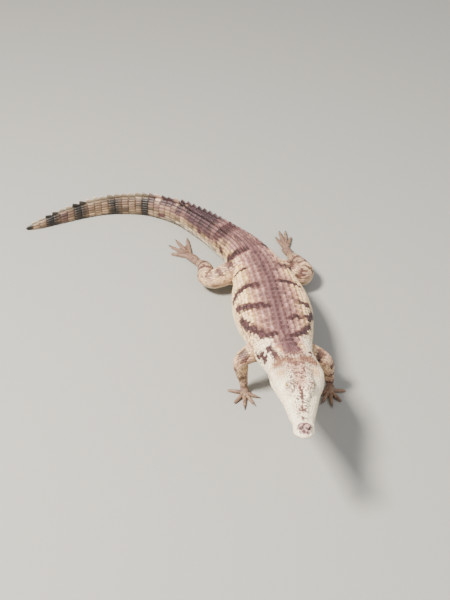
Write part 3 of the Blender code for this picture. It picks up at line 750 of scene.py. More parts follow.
PALETTE = {
    "cream": (253, 240, 208), "straw": (226, 184, 122), "belly": (246, 232, 198),
    "mauve": (146, 104, 100), "stripe": (90, 58, 62), "bar": (68, 38, 40),
    "rust": (176, 108, 66), "tan": (188, 136, 84), "tail": (108, 84, 66),
    "crown": (222, 180, 152), "band": (13, 10, 9), "pad": (108, 84, 72),
    "nose": (186, 144, 140), "saddle": (58, 38, 44), "leg": (174, 130, 96),
    "slit": (34, 18, 24), "rose": (192, 140, 118), "pepper": (76, 44, 42),
    "collar": (130, 88, 66),
}
# half width of the dark back, and of the peppered skull table, along the body
BACK_WIDTH = ((123, 12), (150, 12), (165, 14), (180, 16), (195, 21), (212, 26), (232, 30),
              (279, 34), (336, 33), (400, 33), (441, 35), (480, 31), (520, 27), (560, 26),
              (600, 25), (648, 21), (690, 18), (720, 10), (915, 4))
TABLE_WIDTH = ((0, 60, 75, 90, 105, 125, 150), (0.5, 1.0, 3.0, 7.0, 9.5, 11.0, 12.0))
# dark marks on the body: points of distance and arc from the middle of the back, half width
DARK_MARKS = (
    (((216, -15), (220, -21), (228, -28), (240, -36), (255, -45), (272, -53), (288, -57)), 6.2),
    (((292, -16), (294, -26), (297, -32), (302, -41), (309, -50), (317, -57)), 6.6),
    (((350, -20), (355, -30), (355, -39), (355, -47), (350, -55), (346, -62)), 6.2),
    (((465, -14), (465, -22), (470, -30), (479, -39), (485, -44)), 7.2),
    (((208, 8), (213, 18), (221, 28), (240, 37), (250, 43)), 4.6),
    (((254, 14), (258, 21), (260, 27)), 4.2), (((266, 41), (280, 52), (298, 64)), 4.8),
    (((304, 32), (300, 38), (300, 46), (303, 52)), 4.4),
    (((356, 16), (356, 24), (352, 32), (350, 42)), 4.2),
    (((405, 22), (409, 34), (414, 46)), 3.4), (((410, -24), (414, -36), (420, -48)), 3.0),
    (((468, 18), (474, 30), (482, 40)), 4.6),
    (((194, -27), (186, -25), (176, -23), (164, -22), (154, -19)), 3.9),
    (((198, -44), (190, -42), (184, -39)), 5.2), (((212, -55), (205, -52)), 3.6),
    (((182, 36), (188, 40), (195, 43)), 3.6), (((166, 22), (170, 26)), 2.6),
    (((206, 52), (212, 56)), 3.4), (((154, 8), (152, 14)), 2.0),
    (((523, -38), (519, -42)), 4.2), (((514, -50), (511, -53)), 3.6),
    (((521, 38), (517, 43)), 4.2),
    (((560, -28), (558, -32)), 3.6), (((588, -28), (586, -32)), 3.4),
    (((536, -34), (534, -38)), 2.4), (((557, 29), (555, 33)), 3.6),
    (((586, 28), (584, 32)), 3.4), (((604, -30), (602, -34)), 2.6),
    (((538, -6), (536, -16), (541, -22)), 8.5), (((538, 6), (537, 16)), 8.0),
    (((676, -30), (686, -32)), 3.6), (((678, 30), (688, 32)), 3.6),
)
# dark rings round the tail: distance, half width, share of the girth they reach; and pale
# plates of its crest: distance, half width
TAIL_RINGS = ((611, 15, 0.42), (589, 12, 0.38), (572, 8, 0.45), (646, 7, 0.34), (714, 9, 0.95),
              (766, 10, 0.92), (825, 12, 1.1), (871, 10, 1.1), (911, 6, 1.1))
PALE_CRESTS = ((652, 3.5), (689, 5.5), (638, 2.5))


def linear(red, green, blue):
    """Scene values for a colour named in 0-255 steps."""
    c = np.array([red, green, blue]) / 255.0
    return np.where(c <= 0.04045, c / 12.92, ((c + 0.055) / 1.055) ** 2.4)


def colour(name):
    """Named colour as scene values."""
    return linear(*PALETTE[name])


def blend(tone, other, mask):
    """Mix a colour into an array of colours."""
    return tone + (other - tone) * np.clip(mask, 0.0, 1.0)[..., None]


def mottle(points, scale, seed):
    """Smooth noise from -1 to 1 at points in millimetres."""
    return np.array([noise.noise(Vector(p) * scale + Vector((seed, seed * 1.7, -seed)))
                     for p in points])


def between(low, low_end, high, high_end, x):
    """1 within a stretch, fading to 0 from low_end down to low and from high up to high_end."""
    return smooth(low, low_end, x) * (1.0 - smooth(high, high_end, x))


def distance_to_line(s, arc, knots):
    """Shortest distance from each place to a line drawn through the knots."""
    best = np.full(len(s), np.inf)
    for (s0, a0), (s1, a1) in zip(knots[:-1], knots[1:]):
        way = np.array([s1 - s0, a1 - a0])
        t = np.clip(((s - s0) * way[0] + (arc - a0) * way[1]) / (way @ way), 0.0, 1.0)
        best = np.minimum(best, np.hypot(s - s0 - t * way[0], arc - a0 - t * way[1]))
    return best


def body_tone(s, arc, girth, points):
    """Colour and speckle strength for places on head, trunk and tail."""
    share = np.abs(arc) / girth
    side = np.abs(arc)
    wobble = mottle(points, 0.045, 3.0)
    fleck = mottle(points, 0.16, 8.0)
    tone = np.tile(colour("straw"), (len(s), 1))

    def paint(hue, mask):
        tone[:] = blend(tone, colour(hue), mask)

    # flanks, belly and neck
    paint("rust", 0.40 * smooth(0.1, 0.6, wobble) * (1 - smooth(0.45, 0.6, share)))
    paint("belly", smooth(0.46, 0.66, share + 0.05 * wobble))
    paint("cream", 0.85 * between(140.0, 160.0, 200.0, 240.0, s))
    # back, with its dark middle stripe and the shield of the nape
    wide = side / (curve(BACK_WIDTH, s) * (1.0 + 0.30 * wobble + 0.34 * fleck))
    tailward = smooth(640.0, 720.0, s)
    back = (1.0 - smooth(0.80, 1.12, wide)) * smooth(150.0, 168.0, s) * (1.0 - tailward)
    paint("rose", back)
    hind = 0.34 * smooth(440.0, 500.0, s)
    core = back * (1.0 - smooth(0.48 + hind, 0.86 + hind, wide))
    paint("mauve", core)
    paint("rose", 0.40 * core * smooth(0.0, 0.45, mottle(points, 0.10, 21.0)))
    edge = hump(wide, 0.92, 0.18) * between(230.0, 260.0, 440.0, 480.0, s)
    paint("rust", 0.45 * edge * smooth(-0.1, 0.5, wobble))
    stripe = np.exp(-(arc / (9.5 + 3.5 * wobble + 2.0 * fleck)) ** 4)
    paint("stripe", 0.80 * stripe * between(158.0, 172.0, 520.0, 560.0, s))
    paint("stripe", 0.8 * np.exp(-((s - 174.0) / 19.0) ** 4 - (arc / 13.0) ** 4))
    paint("tan", 0.6 * np.exp(-((s - 178.0) / 9.0) ** 4 - ((side - 16.0) / 6.5) ** 4))
    # tail; its dark tones are partly its own and partly painted shade of the light dimming towards
    # the tail
    paint("tail", tailward * 0.9)
    rear = smooth(470.0, 560.0, s)
    paint("tail", 0.60 * rear * (1.0 - smooth(0.75, 0.95, share)))
    paint("straw", 0.25 * tailward * smooth(0.35, 0.7, share) * (1 + wobble))
    paint("belly", 0.5 * rear * smooth(0.78, 0.95, share))
    plum = between(480.0, 540.0, 692.0, 712.0, s)
    paint("mauve", 0.80 * plum * (1.0 - smooth(0.95, 1.30, wide)))
    paint("stripe", 0.58 * plum * (1.0 - smooth(0.70, 1.00, wide)))
    paint("tail", 0.45 * tailward * (1.0 - smooth(0.2, 0.6, fleck + 0.4)))
    paint("stripe", 0.75 * hump(s, 851.0, 7.0))
    # partly own tone, partly painted shade: the middle of the tail darkened further
    paint("tail", 0.42 * between(625.0, 655.0, 748.0, 775.0, s) * (share < 0.85))
    paint("belly", 0.25 * tailward * (1.0 - smooth(1.0, 4.0, side)))
    for at, half, reach in TAIL_RINGS:
        over_crest = 1.0 if at < 700 or at > 800 else 0.5
        ring = (np.exp(-((s - at + 3.0 * wobble) / half) ** 4)
                * (over_crest + (1.0 - over_crest) * smooth(2.0, 6.0, side))
                * (1.0 - smooth(reach - 0.06, reach + 0.05, share + 0.04 * fleck)))
        paint("band" if at > 700 else "saddle", 0.97 * ring)
    ridge = 1.0 - smooth(9.0, 13.0, side * (1.0 + 0.25 * fleck))
    paint("saddle", 0.9 * ridge * between(556.0, 580.0, 700.0, 712.0, s))
    paint("crown", 0.4 * hump(side, 12.8, 1.5) * between(645.0, 655.0, 688.0, 698.0, s))
    for at, half in PALE_CRESTS:
        paint("crown", 0.7 * np.exp(-((s - at) / half) ** 4 - ((side - 3.0) / 5.0) ** 4))
    # bars and blotches
    for line, half in DARK_MARKS:
        knots = np.array(line, dtype=float)
        low, high = knots.min(axis=0) - 3 * half, knots.max(axis=0) + 3 * half
        near = np.where((s > low[0]) & (s < high[0]) & (arc > low[1]) & (arc < high[1]))[0]
        gap = distance_to_line(s[near], arc[near], knots)
        gap = gap / (half * (1.24 + 0.22 * fleck[near]))
        tone[near] = blend(tone[near], colour("bar"), 1.0 - smooth(0.6, 1.3, gap))
    # head: cream, with a peppered crown and skull table, and tan temples
    on_head = 1.0 - smooth(136.0, 150.0, s)
    lip = np.interp(s, np.arange(len(body["lips"])), body["lips"])
    paint("cream", on_head)
    top_width = 7.0 + 15.0 * smooth(20.0, 95.0, s)
    top = 1.0 - smooth(0.55, 1.25, side / top_width * (1.0 + 0.3 * fleck))
    paint("crown", 0.5 * on_head * top * smooth(0.0, 0.6, wobble + 0.2))
    table = side / np.interp(s, *TABLE_WIDTH) * (1.0 + 0.4 * fleck)
    table = smooth(30.0, 50.0, s) * (1.0 - smooth(0.5, 1.3, table))
    paint("rose", 0.80 * on_head * table)
    paint("mauve", 0.60 * on_head * table * smooth(84.0, 100.0, s) * smooth(-0.2, 0.3, fleck))
    temple = np.exp(-((s - 121.0) / 12.0) ** 2 - ((side - 24.0) / 8.0) ** 2)
    paint("tan", 0.85 * on_head * temple)
    pepper = smooth(-0.01, 0.14, mottle(points, 0.55, 31.0)) * smooth(-0.45, 0.1, fleck)
    paint("pepper", on_head * smooth(14.0, 26.0, s) * pepper
          * np.maximum(0.92 * top, 0.95 * table))
    # nose disc, painted shade in the nostril slits, and the broken line down the snout
    nose_gap = np.hypot((s - 8.2) * 1.05, side * 0.86)
    disc = (1.0 - smooth(7.4, 8.8, nose_gap + 0.8 * fleck)) * (share < 0.62)
    patchy = smooth(-0.08, 0.18, mottle(points, 0.30, 17.0))
    paint("nose", 0.9 * disc)
    paint("pepper", 0.92 * disc * patchy)
    paint("stripe", 0.85 * hump(nose_gap, 7.8, 1.4) * (s > 5.0) * (share < 0.55))
    # painted shade: near-black crescents where the nostril slits open
    nostril_shade = hump(np.hypot(s - 7.3, side - 4.0), 2.3, 1.1)
    paint("slit", 0.97 * nostril_shade * (1.0 - smooth(6.6, 8.6, s)))
    snout_line = hump(arc, -0.8 * wobble, 1.6) * between(18.0, 28.0, 76.0, 92.0, s)
    paint("pepper", 0.95 * snout_line * smooth(-0.55, -0.1, fleck))
    # collar behind the table, the lips, and painted shade along the mouth line
    collar = np.exp(-((s - 148.5 + 3.0 * fleck) / 15.5) ** 4) * (1.0 - smooth(25.0, 37.0, side))
    paint("collar", collar * (0.98 + 0.2 * wobble + 0.35 * fleck))
    paint("stripe", 0.65 * collar * hump(arc, 0.0, 14.0) * smooth(-0.3, 0.2, fleck))
    crease = np.abs(share - lip) * girth
    paint("tan", 0.35 * on_head * hump(crease, 0.0, 3.4) * smooth(20.0, 40.0, s))
    # painted shade: a thin dark line in the gap of the closed mouth
    paint("pepper", 0.9 * on_head * (s > 1.5) * (1.0 - smooth(0.4, 1.0, crease)))
    speckle = on_head * (0.30 + 0.60 * top) * smooth(16.0, 30.0, s) * (share < lip)
    speckle = np.maximum(speckle, 0.35 * back)
    return np.column_stack([tone, speckle])


# dark marks across the legs: leg, distance down it, half width, middle and half range of turn
LEG_BARS = (
    ("arm_right", 14.0, 3.8, -0.80, 0.24), ("arm_right", 33.0, 3.6, -0.75, 0.28),
    ("arm_right", 50.0, 3.8, -0.95, 0.32), ("arm_right", 66.0, 3.4, -0.75, 0.5),
    ("arm_right", 84.0, 2.8, -0.75, 0.6), ("arm_left", 12.0, 2.4, -0.15, 0.15),
    ("arm_left", 29.0, 3.6, -0.20, 0.24), ("arm_left", 46.0, 3.8, -0.10, 0.30),
    ("arm_left", 62.0, 3.4, -0.25, 0.5), ("arm_left", 80.0, 2.8, -0.25, 0.6),
    ("leg_right", 27.0, 4.8, 0.42, 0.26), ("leg_right", 44.0, 3.4, 0.62, 0.20),
    ("leg_right", 60.0, 4.2, 0.5, 0.35), ("leg_right", 80.0, 3.6, 0.5, 0.5),
    ("leg_right", 98.0, 3.0, 0.5, 0.6), ("leg_left", 25.0, 5.2, 0.46, 0.30),
    ("leg_left", 40.0, 3.4, 0.30, 0.20), ("leg_left", 56.0, 4.2, 0.5, 0.40),
    ("leg_left", 76.0, 3.6, 0.5, 0.5), ("leg_left", 96.0, 3.0, 0.5, 0.6),
)


def limb_tone(patch, u, v, points):
    """Colour and speckle strength for places on a leg, hand or foot."""
    name = patch["name"]
    wobble = mottle(points, 0.07, 5.0)
    fleck = mottle(points, 0.22, 11.0)
    tone = np.tile(colour("leg"), (len(u), 1))

    def paint(hue, mask):
        tone[:] = blend(tone, colour(hue), mask)

    paint("straw", 0.65 * smooth(-0.1, 0.5, wobble))
    if name in LEGS:
        paint("pad", 0.7 * smooth(62.0, 92.0, u))
        for which, at, half, middle, spread in LEG_BARS:
            if which == name:
                around = np.abs(np.mod(v - middle + 1.0, 2.0) - 1.0)
                mark = (np.exp(-((u - at + 2.5 * wobble) / half) ** 4)
                        * (1.0 - smooth(spread * 0.8, spread * 1.2, around + 0.1 * fleck)))
                paint("bar", 0.9 * mark)
    else:
        paint("pad", np.full(len(u), 0.85))
        paint("stripe", 0.35 * smooth(0.15, 0.5, fleck))
    paint("bar", 0.4 * smooth(0.35, 0.6, fleck))
    rows = np.arange(len(patch["axis"])) * patch["du"]
    outward = points - np.column_stack([np.interp(u, rows, axis) for axis in patch["axis"].T])
    outward = outward[:, 2] / np.maximum(np.linalg.norm(outward, axis=1), 0.1)
    paint("belly", 0.7 * smooth(0.25, 0.8, -outward))
    return np.column_stack([tone, np.full(len(u), 0.25)])


def patch_tone(patch, u, v, points):
    """Colours for places on any patch."""
    if patch is body:
        girth = half_girth(patch, u)
        return body_tone(u, v * girth, girth, points)
    return limb_tone(patch, u, v, points)


# every skin point takes the markings of the nearest patch place
sample_places, sample_keys = [], []
for key, patch in patches.items():
    rows, columns = patch["points"].shape[:2]
    u = patch["u0"] + patch["du"] * np.arange(rows)
    v = patch["v0"] + patch["dv"] * np.arange(columns)
    uu, vv = np.meshgrid(u, v, indexing="ij")
    flat = patch["points"].reshape(-1, 3)
    good = ~np.isnan(flat[:, 0])
    sample_places.append(flat[good])
    sample_keys += [(key, a, b) for a, b in zip(uu.ravel()[good], vv.ravel()[good])]
sample_places = np.concatenate(sample_places)
nearest = kdtree.KDTree(len(sample_places))
for index, p in enumerate(sample_places):
    nearest.insert(p, index)
nearest.balance()
skin_places = np.array([v.co for v in skin_mesh.vertices]) / MM
found = [sample_keys[nearest.find(p)[1]] for p in skin_places]
owner = np.array([key for key, u, v in found])
skin_u = np.array([u for key, u, v in found])
skin_v = np.array([v for key, u, v in found])
skin_tones = np.zeros((len(found), 4))
for key, patch in patches.items():
    mine = np.where(owner == key)[0]
    if len(mine):
        skin_tones[mine] = patch_tone(patch, skin_u[mine], skin_v[mine], skin_places[mine])
# painted shade: the hide between the scales is darkened, least of all on the face
painted_gap_shade = np.where(skin_u > 146.0, 0.62, 0.84) * np.where(owner == "body", 1.0, 0.9)
skin_tones[:, :3] *= painted_gap_shade[:, None]


def store_tones(mesh, tones):
    """Keep the colours with the mesh points."""
    layer = mesh.attributes.new("coat_tone", "FLOAT_COLOR", "POINT")
    layer.data.foreach_set("color", np.ascontiguousarray(tones, dtype=np.float32).ravel())


def open_group(name, takes, gives):
    """Shader node group with named inputs and outputs, each with its kind of socket."""
    group = bpy.data.node_groups.new(name, "ShaderNodeTree")
    for way, sockets in (("INPUT", takes), ("OUTPUT", gives)):
        for label, kind in sockets.items():
            group.interface.new_socket(label, in_out=way, socket_type="NodeSocket" + kind)
    return group, group.nodes.new("NodeGroupInput"), group.nodes.new("NodeGroupOutput")


def coat_pattern():
    """Shared pattern: fine dark vermiculation, value drift and skin grain."""
    group, enter, leave = open_group("coat_pattern", {"Tone": "Color", "Speckle": "Float"},
                                     {"Color": "Color", "Grain": "Float", "Roughness": "Float"})
    nodes, links = group.nodes, group.links
    place = nodes.new("ShaderNodeTexCoord")

    def feed(socket, value):
        if isinstance(value, (float, tuple)):
            socket.default_value = value
        else:
            links.new(value, socket)

    def cloud(scale, detail, roughness):
        node = nodes.new("ShaderNodeTexNoise")
        for socket, value in (("Scale", scale), ("Detail", detail), ("Roughness", roughness),
                              ("Vector", place.outputs["Object"])):
            feed(node.inputs[socket], value)
        return node.outputs["Fac"]

    def ramp(source, **limits):
        node = nodes.new("ShaderNodeMapRange")
        feed(node.inputs["Value"], source)
        for socket, value in limits.items():
            feed(node.inputs[socket.replace("_", " ").title()], value)
        return node.outputs["Result"]

    def product(a, b):
        node = nodes.new("ShaderNodeMath")
        node.operation = "MULTIPLY"
        feed(node.inputs[0], a)
        feed(node.inputs[1], b)
        return node.outputs["Value"]

    def mixed(factor, a, b, kind="MIX"):
        node = nodes.new("ShaderNodeMix")
        node.data_type = "RGBA"
        node.blend_type = kind
        feed(node.inputs["Factor"], factor)
        feed(node.inputs[6], a)
        feed(node.inputs[7], b)
        return node.outputs[2]

    worms = ramp(cloud(620.0, 2.0, 0.55), from_min=0.535, from_max=0.60)
    worms = product(worms, enter.outputs["Speckle"])
    drift = cloud(70.0, 3.0, 0.55)
    light = product(ramp(drift, from_min=0.3, from_max=0.7), 0.45)
    soft = mixed(light, enter.outputs["Tone"], (0.72, 0.66, 0.60, 1.0), "MULTIPLY")
    feed(leave.inputs["Color"], mixed(product(worms, 0.78), soft, (*linear(88, 54, 46), 1.0)))
    feed(leave.inputs["Grain"], cloud(1500.0, 3.0, 0.6))
    feed(leave.inputs["Roughness"], ramp(drift, to_min=0.42, to_max=0.62))
    return group


def coat_material(name, group, bump):
    """Skin or scale material that reads the stored markings, painted shade and painted highlights.
    """
    material = bpy.data.materials.new(name)
    material.use_nodes = True
    nodes, links = material.node_tree.nodes, material.node_tree.links
    shader = nodes["Principled BSDF"]
    tone = nodes.new("ShaderNodeAttribute")
    tone.attribute_name = "coat_tone"
    pattern = nodes.new("ShaderNodeGroup")
    pattern.node_tree = group
    links.new(tone.outputs["Color"], pattern.inputs["Tone"])
    links.new(tone.outputs["Alpha"], pattern.inputs["Speckle"])
    links.new(pattern.outputs["Color"], shader.inputs["Base Color"])
    links.new(pattern.outputs["Roughness"], shader.inputs["Roughness"])
    relief = nodes.new("ShaderNodeBump")
    relief.inputs["Strength"].default_value = bump
    relief.inputs["Distance"].default_value = 0.0002
    links.new(pattern.outputs["Grain"], relief.inputs["Height"])
    links.new(relief.outputs["Normal"], shader.inputs["Normal"])
    return material


pattern_group = coat_pattern()
store_tones(skin_mesh, skin_tones)
skin_mesh.materials.append(coat_material("hide", pattern_group, 0.5))


# --------------------------------------------------------------------------------------
# Eyes.
# Two glassy balls seated in the skull behind the lids; yellow-brown iris with a dark rim,
# fine spokes and an upright slit pupil.
# --------------------------------------------------------------------------------------
IRIS_EDGE = 0.86           # cosine of the half angle of the iris
IRIS, IRIS_RIM, PUPIL = linear(176, 146, 70), linear(70, 58, 40), linear(8, 7, 6)
PUPIL_HEIGHT, PUPIL_WIDTH = 0.40, 0.085


def eye_tone(facing, sideways, upright):
    """Colour of the eyeball towards one direction, given in the eye's own axes."""
    if facing > 0.0:
        opening = math.sqrt(max(1.0 - (upright / PUPIL_HEIGHT) ** 2, 0.0))
        if abs(sideways) < PUPIL_WIDTH * opening:
            return PUPIL
    if facing <= IRIS_EDGE:
        return IRIS_RIM
    away = math.sqrt(max(1.0 - facing * facing, 0.0))
    spokes = 0.5 + 0.5 * math.sin(34.0 * math.atan2(upright, sideways) + 9.0 * away)
    return IRIS * (0.72 + 0.30 * spokes) * (1.18 - 0.9 * away)


eye_material = bpy.data.materials.new("eye")
eye_material.use_nodes = True
nodes, links = eye_material.node_tree.nodes, eye_material.node_tree.links
shader = nodes["Principled BSDF"]
shader.inputs["Roughness"].default_value = 0.06
shader.inputs["Coat Weight"].default_value = 0.6
painted = nodes.new("ShaderNodeAttribute")
painted.attribute_name = "eye_tone"
links.new(painted.outputs["Color"], shader.inputs["Base Color"])
for name, (centre, gaze, along, above) in eye_axes.items():
    edit = bmesh.new()
    bmesh.ops.create_uvsphere(edit, u_segments=72, v_segments=48, radius=EYE_RADIUS)
    tilt = Vector((0, 0, 1)).rotation_difference(Vector(gaze)).to_matrix()
    bmesh.ops.rotate(edit, verts=edit.verts, cent=(0, 0, 0), matrix=tilt)
    bmesh.ops.scale(edit, verts=edit.verts, vec=(MM, MM, MM))
    bmesh.ops.translate(edit, verts=edit.verts, vec=Vector(centre * MM))
    ball = finished(edit, name + "_ball")
    tones = ball.data.attributes.new("eye_tone", "FLOAT_COLOR", "POINT")
    for v, tone in zip(ball.data.vertices, tones.data):
        ray = (np.array(v.co) / MM - centre) / EYE_RADIUS
        tone.color = (*eye_tone(ray.dot(gaze), ray.dot(along), ray.dot(above)), 1.0)
    ball.data.materials.append(eye_material)
    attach(ball, "root")
    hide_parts(name)


# --------------------------------------------------------------------------------------
# Teeth.
# Pale conical teeth standing in the upper jaw and closing outside the lower lip; the big
# fourth lower tooth shows in the notch behind the nose.
# --------------------------------------------------------------------------------------
UPPER_TEETH = ((5.5, 1.7), (10.5, 2.0), (15.2, 2.3), (30.0, 2.2), (34.2, 2.7), (38.6, 3.1),
               (43.2, 3.4), (47.8, 2.7), (52.4, 2.3), (57.2, 2.0), (62.4, 1.9), (68.0, 2.0),
               (73.8, 2.2), (79.6, 2.2), (85.6, 2.0), (91.4, 1.7))
UPPER_GROWTH = 1.2         # real length over the lengths listed
LOWER_TOOTH = (23.2, 4.2)


def streaks():
    """Shared pattern of enamel and horn: two tones in drawn-out clouds, worn sheen and relief."""
    group, enter, leave = open_group("streaks", {"Tone": "Color", "Streak": "Color",
                                                 "Stretch": "Vector", "Sheen": "Float"},
                                     {"Color": "Color", "Roughness": "Float", "Relief": "Float"})
    nodes, links = group.nodes, group.links
    place, drawn = nodes.new("ShaderNodeTexCoord"), nodes.new("ShaderNodeMapping")
    cloud = nodes.new("ShaderNodeTexNoise")
    cloud.inputs["Scale"].default_value = 260.0
    cloud.inputs["Detail"].default_value = 4.0
    share = nodes.new("ShaderNodeMapRange")
    share.inputs["From Min"].default_value = 0.36
    share.inputs["From Max"].default_value = 0.64
    tones = nodes.new("ShaderNodeMix")
    tones.data_type = "RGBA"
    wear = nodes.new("ShaderNodeMapRange")
    wear.inputs["To Min"].default_value = -0.10
    wear.inputs["To Max"].default_value = 0.12
    worn = nodes.new("ShaderNodeMath")
    worn.operation = "ADD"
    for source, socket in ((place.outputs["Object"], drawn.inputs["Vector"]),
                           (enter.outputs["Stretch"], drawn.inputs["Scale"]),
                           (drawn.outputs["Vector"], cloud.inputs["Vector"]),
                           (cloud.outputs["Fac"], share.inputs["Value"]),
                           (cloud.outputs["Fac"], wear.inputs["Value"]),
                           (share.outputs["Result"], tones.inputs["Factor"]),
                           (enter.outputs["Tone"], tones.inputs[6]),
                           (enter.outputs["Streak"], tones.inputs[7]),
                           (wear.outputs["Result"], worn.inputs[0]),
                           (enter.outputs["Sheen"], worn.inputs[1]),
                           (tones.outputs[2], leave.inputs["Color"]),
                           (worn.outputs["Value"], leave.inputs["Roughness"]),
                           (cloud.outputs["Fac"], leave.inputs["Relief"])):
        links.new(source, socket)
    return group


def streaked_material(name, tone, streak, stretch, roughness):
    """Enamel or horn with the streaks in its own two tones."""
    material = bpy.data.materials.new(name)
    material.use_nodes = True
    nodes, links = material.node_tree.nodes, material.node_tree.links
    shader = nodes["Principled BSDF"]
    pattern = nodes.new("ShaderNodeGroup")
    pattern.node_tree = streak_group
    pattern.inputs["Tone"].default_value = (*linear(*tone), 1.0)
    pattern.inputs["Streak"].default_value = (*linear(*streak), 1.0)
    pattern.inputs["Stretch"].default_value = stretch
    pattern.inputs["Sheen"].default_value = roughness
    relief = nodes.new("ShaderNodeBump")
    relief.inputs["Strength"].default_value = 0.35
    relief.inputs["Distance"].default_value = 0.0001
    links.new(pattern.outputs["Color"], shader.inputs["Base Color"])
    links.new(pattern.outputs["Roughness"], shader.inputs["Roughness"])
    links.new(pattern.outputs["Relief"], relief.inputs["Height"])
    links.new(relief.outputs["Normal"], shader.inputs["Normal"])
    return material


def standing_edges(verts):
    """Edges that run up a unit prism or cone, always in the same order."""
    return list(dict.fromkeys(e for v in verts for e in v.link_edges
                              if abs(e.verts[0].co.z - e.verts[1].co.z) > 0.5))


def add_tooth(edit, s, side, length, aim, inward, sunk):
    """One tooth at the lip line, pointing up or down, set inward and sunk into the gum."""
    out = curve(WIDTH, s) - inward
    base = curve(MOUTH, s) - aim * sunk
    before = len(edit.verts)
    made = bmesh.ops.create_cone(edit, cap_ends=True, segments=9, radius1=0.3 + length * 0.20,
                                 radius2=length * 0.03, depth=1.0)["verts"]
    bmesh.ops.subdivide_edges(edit, edges=standing_edges(made), cuts=3)
    edit.verts.ensure_lookup_table()
    for v in edit.verts[before:]:
        t = v.co.z + 0.5
        swell = 1.0 + 0.25 * math.sin(math.pi * t)
        local_out = v.co.x * swell + 0.28 * math.sin(math.pi * 0.5 * t) - 0.18 * t * t
        local_s = s + v.co.y * swell - 0.2 * length * t * t
        v.co = to_world(np.array([local_s]), [side * (out + local_out)],
                        [base + aim * t * (length + 0.9)])[0] * MM


edit = bmesh.new()
for side in (1.0, -1.0):
    for s, length in UPPER_TEETH:
        add_tooth(edit, s, side, length * UPPER_GROWTH, -1.0, 0.9, 0.9)
    add_tooth(edit, LOWER_TOOTH[0], side, LOWER_TOOTH[1], 1.0, 0.7, 1.1)
bmesh.ops.recalc_face_normals(edit, faces=edit.faces)
teeth = finished(edit, "teeth")
streak_group = streaks()
teeth.data.materials.append(
    streaked_material("tooth", (242, 234, 212), (222, 206, 172), (2.0, 2.0, 0.6), 0.36))
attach(teeth, "root")


# --------------------------------------------------------------------------------------
# Claws.
# Dark horn, gently hooked, on the three inner digits of every hand and foot; each is one
# tapered tube seated in the end of its digit.
# --------------------------------------------------------------------------------------
CLAW_TIP_HEIGHT = 0.8
claw_material = streaked_material("claw", (62, 48, 42), (104, 86, 72), (2.4, 0.6, 1.6), 0.42)
for leg, prefix in (("arm_left", "hand_left"), ("arm_right", "hand_right"),
                    ("leg_left", "foot_left"), ("leg_right", "foot_right")):
    palm, palm_tube, digits, radius = paw_plan(leg)
    for number, (digit, tip, pointing) in enumerate(digits[:3], start=1):
        level = np.array([pointing[0], pointing[1], 0.0])
        level /= np.linalg.norm(level)
        root = tip - pointing * 0.3
        stations = []
        for t in np.linspace(0.0, 1.0, 8):
            at = root + level * radius * 2.7 * t
            arch = 0.55 * math.sin(math.pi * 0.62 * t) * radius * 0.5
            at[2] = root[2] + arch - t * t * (root[2] - CLAW_TIP_HEIGHT)
            thick = radius * (0.60 - 0.50 * t ** 1.3)
            stations.append((*at, thick * 0.82, thick))
        edit = bmesh.new()
        limb_tube(edit, stations, 12, 0.6)
        bmesh.ops.recalc_face_normals(edit, faces=edit.faces)
        horn = finished(edit, "%s_horn_%d" % (prefix, number))
        horn.data.materials.append(claw_material)
        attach(horn, "root")
        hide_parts("%s_claw_%d" % (prefix, number))


# --------------------------------------------------------------------------------------
# Scutes and granules of the back.
# Plates of horn over bone, each with a keel, in rows of up to eight from nape to hips;
# grains of horn fill the soft skin between their rows and round the shield of the nape.
# --------------------------------------------------------------------------------------
SCUTE_PITCH = 11.4
OUTER_SCUTE = 3            # the fourth scute from the middle is smaller
# shield of the nape: distance, arc, length, width and height of the scutes on each side
NUCHAL = ((172.0, 6.2, 11.5, 11.6, 2.1), (184.5, 5.4, 11.0, 10.4, 2.0),
          (178.5, 16.0, 8.0, 7.0, 1.3))
UV_PATCH = 0.003           # side of one scale on the unwrap
UV_LENGTH, UV_GIRTH = 950.0, 410.0         # millimetres along and round to the unwrap's side
LIMB_CORNERS = {"arm_right": (0.56, 0.02), "arm_left": (0.78, 0.02), "leg_right": (0.56, 0.74),
                "leg_left": (0.78, 0.74)}
SCALE_REACH = 0.0022       # farthest that a scale's point may lie from the skin
ROOT_SHARE = 0.6           # of a scale's depth below its root that is sunk in the skin
FLOOR_GAP = 0.02           # scales under the animal are pressed flat this far above the floor

point_normals = np.zeros((len(skin_mesh.vertices), 3), dtype=np.float32)
skin_mesh.vertices.foreach_get("normal", point_normals.ravel())
face_corners = np.array([p.vertices[:] for p in skin_mesh.polygons])
face_normals = point_normals[face_corners].mean(axis=1)
scale_material = coat_material("scale", pattern_group, 0.3)


def shape_of(edit):
    """Points and faces of a finished template."""
    bmesh.ops.triangulate(edit, faces=[f for f in edit.faces if len(f.verts) > 4])
    bmesh.ops.recalc_face_normals(edit, faces=edit.faces)
    verts = np.array([v.co for v in edit.verts])
    faces = [[v.index for v in f.verts] for f in edit.faces]
    edit.free()
    return verts, faces


def bead_template(sides, square, steps):
    """Low dome: closed prism whose top is inset and raised by steps; unit size."""
    edit = bmesh.new()
    bmesh.ops.create_cone(edit, cap_ends=True, segments=sides, radius1=0.5, radius2=0.46, depth=1.0)
    for inset, lift in steps:
        top = max(edit.faces, key=lambda f: f.calc_center_median().z)
        bmesh.ops.inset_individual(edit, faces=[top], thickness=inset, depth=lift,
                                   use_even_offset=False)
    verts, faces = shape_of(edit)
    radial = np.hypot(verts[:, 0], verts[:, 1])
    turn = np.arctan2(verts[:, 1], verts[:, 0])
    box = (np.abs(np.cos(turn)) ** square + np.abs(np.sin(turn)) ** square) ** (-1.0 / square)
    verts[:, 0], verts[:, 1] = radial * box * np.cos(turn), radial * box * np.sin(turn)
    height = (verts[:, 2] + 0.5) / (verts[:, 2].max() + 0.5)
    verts[:, 2] = np.where(verts[:, 2] < -0.4, -0.5, height)
    return verts, faces


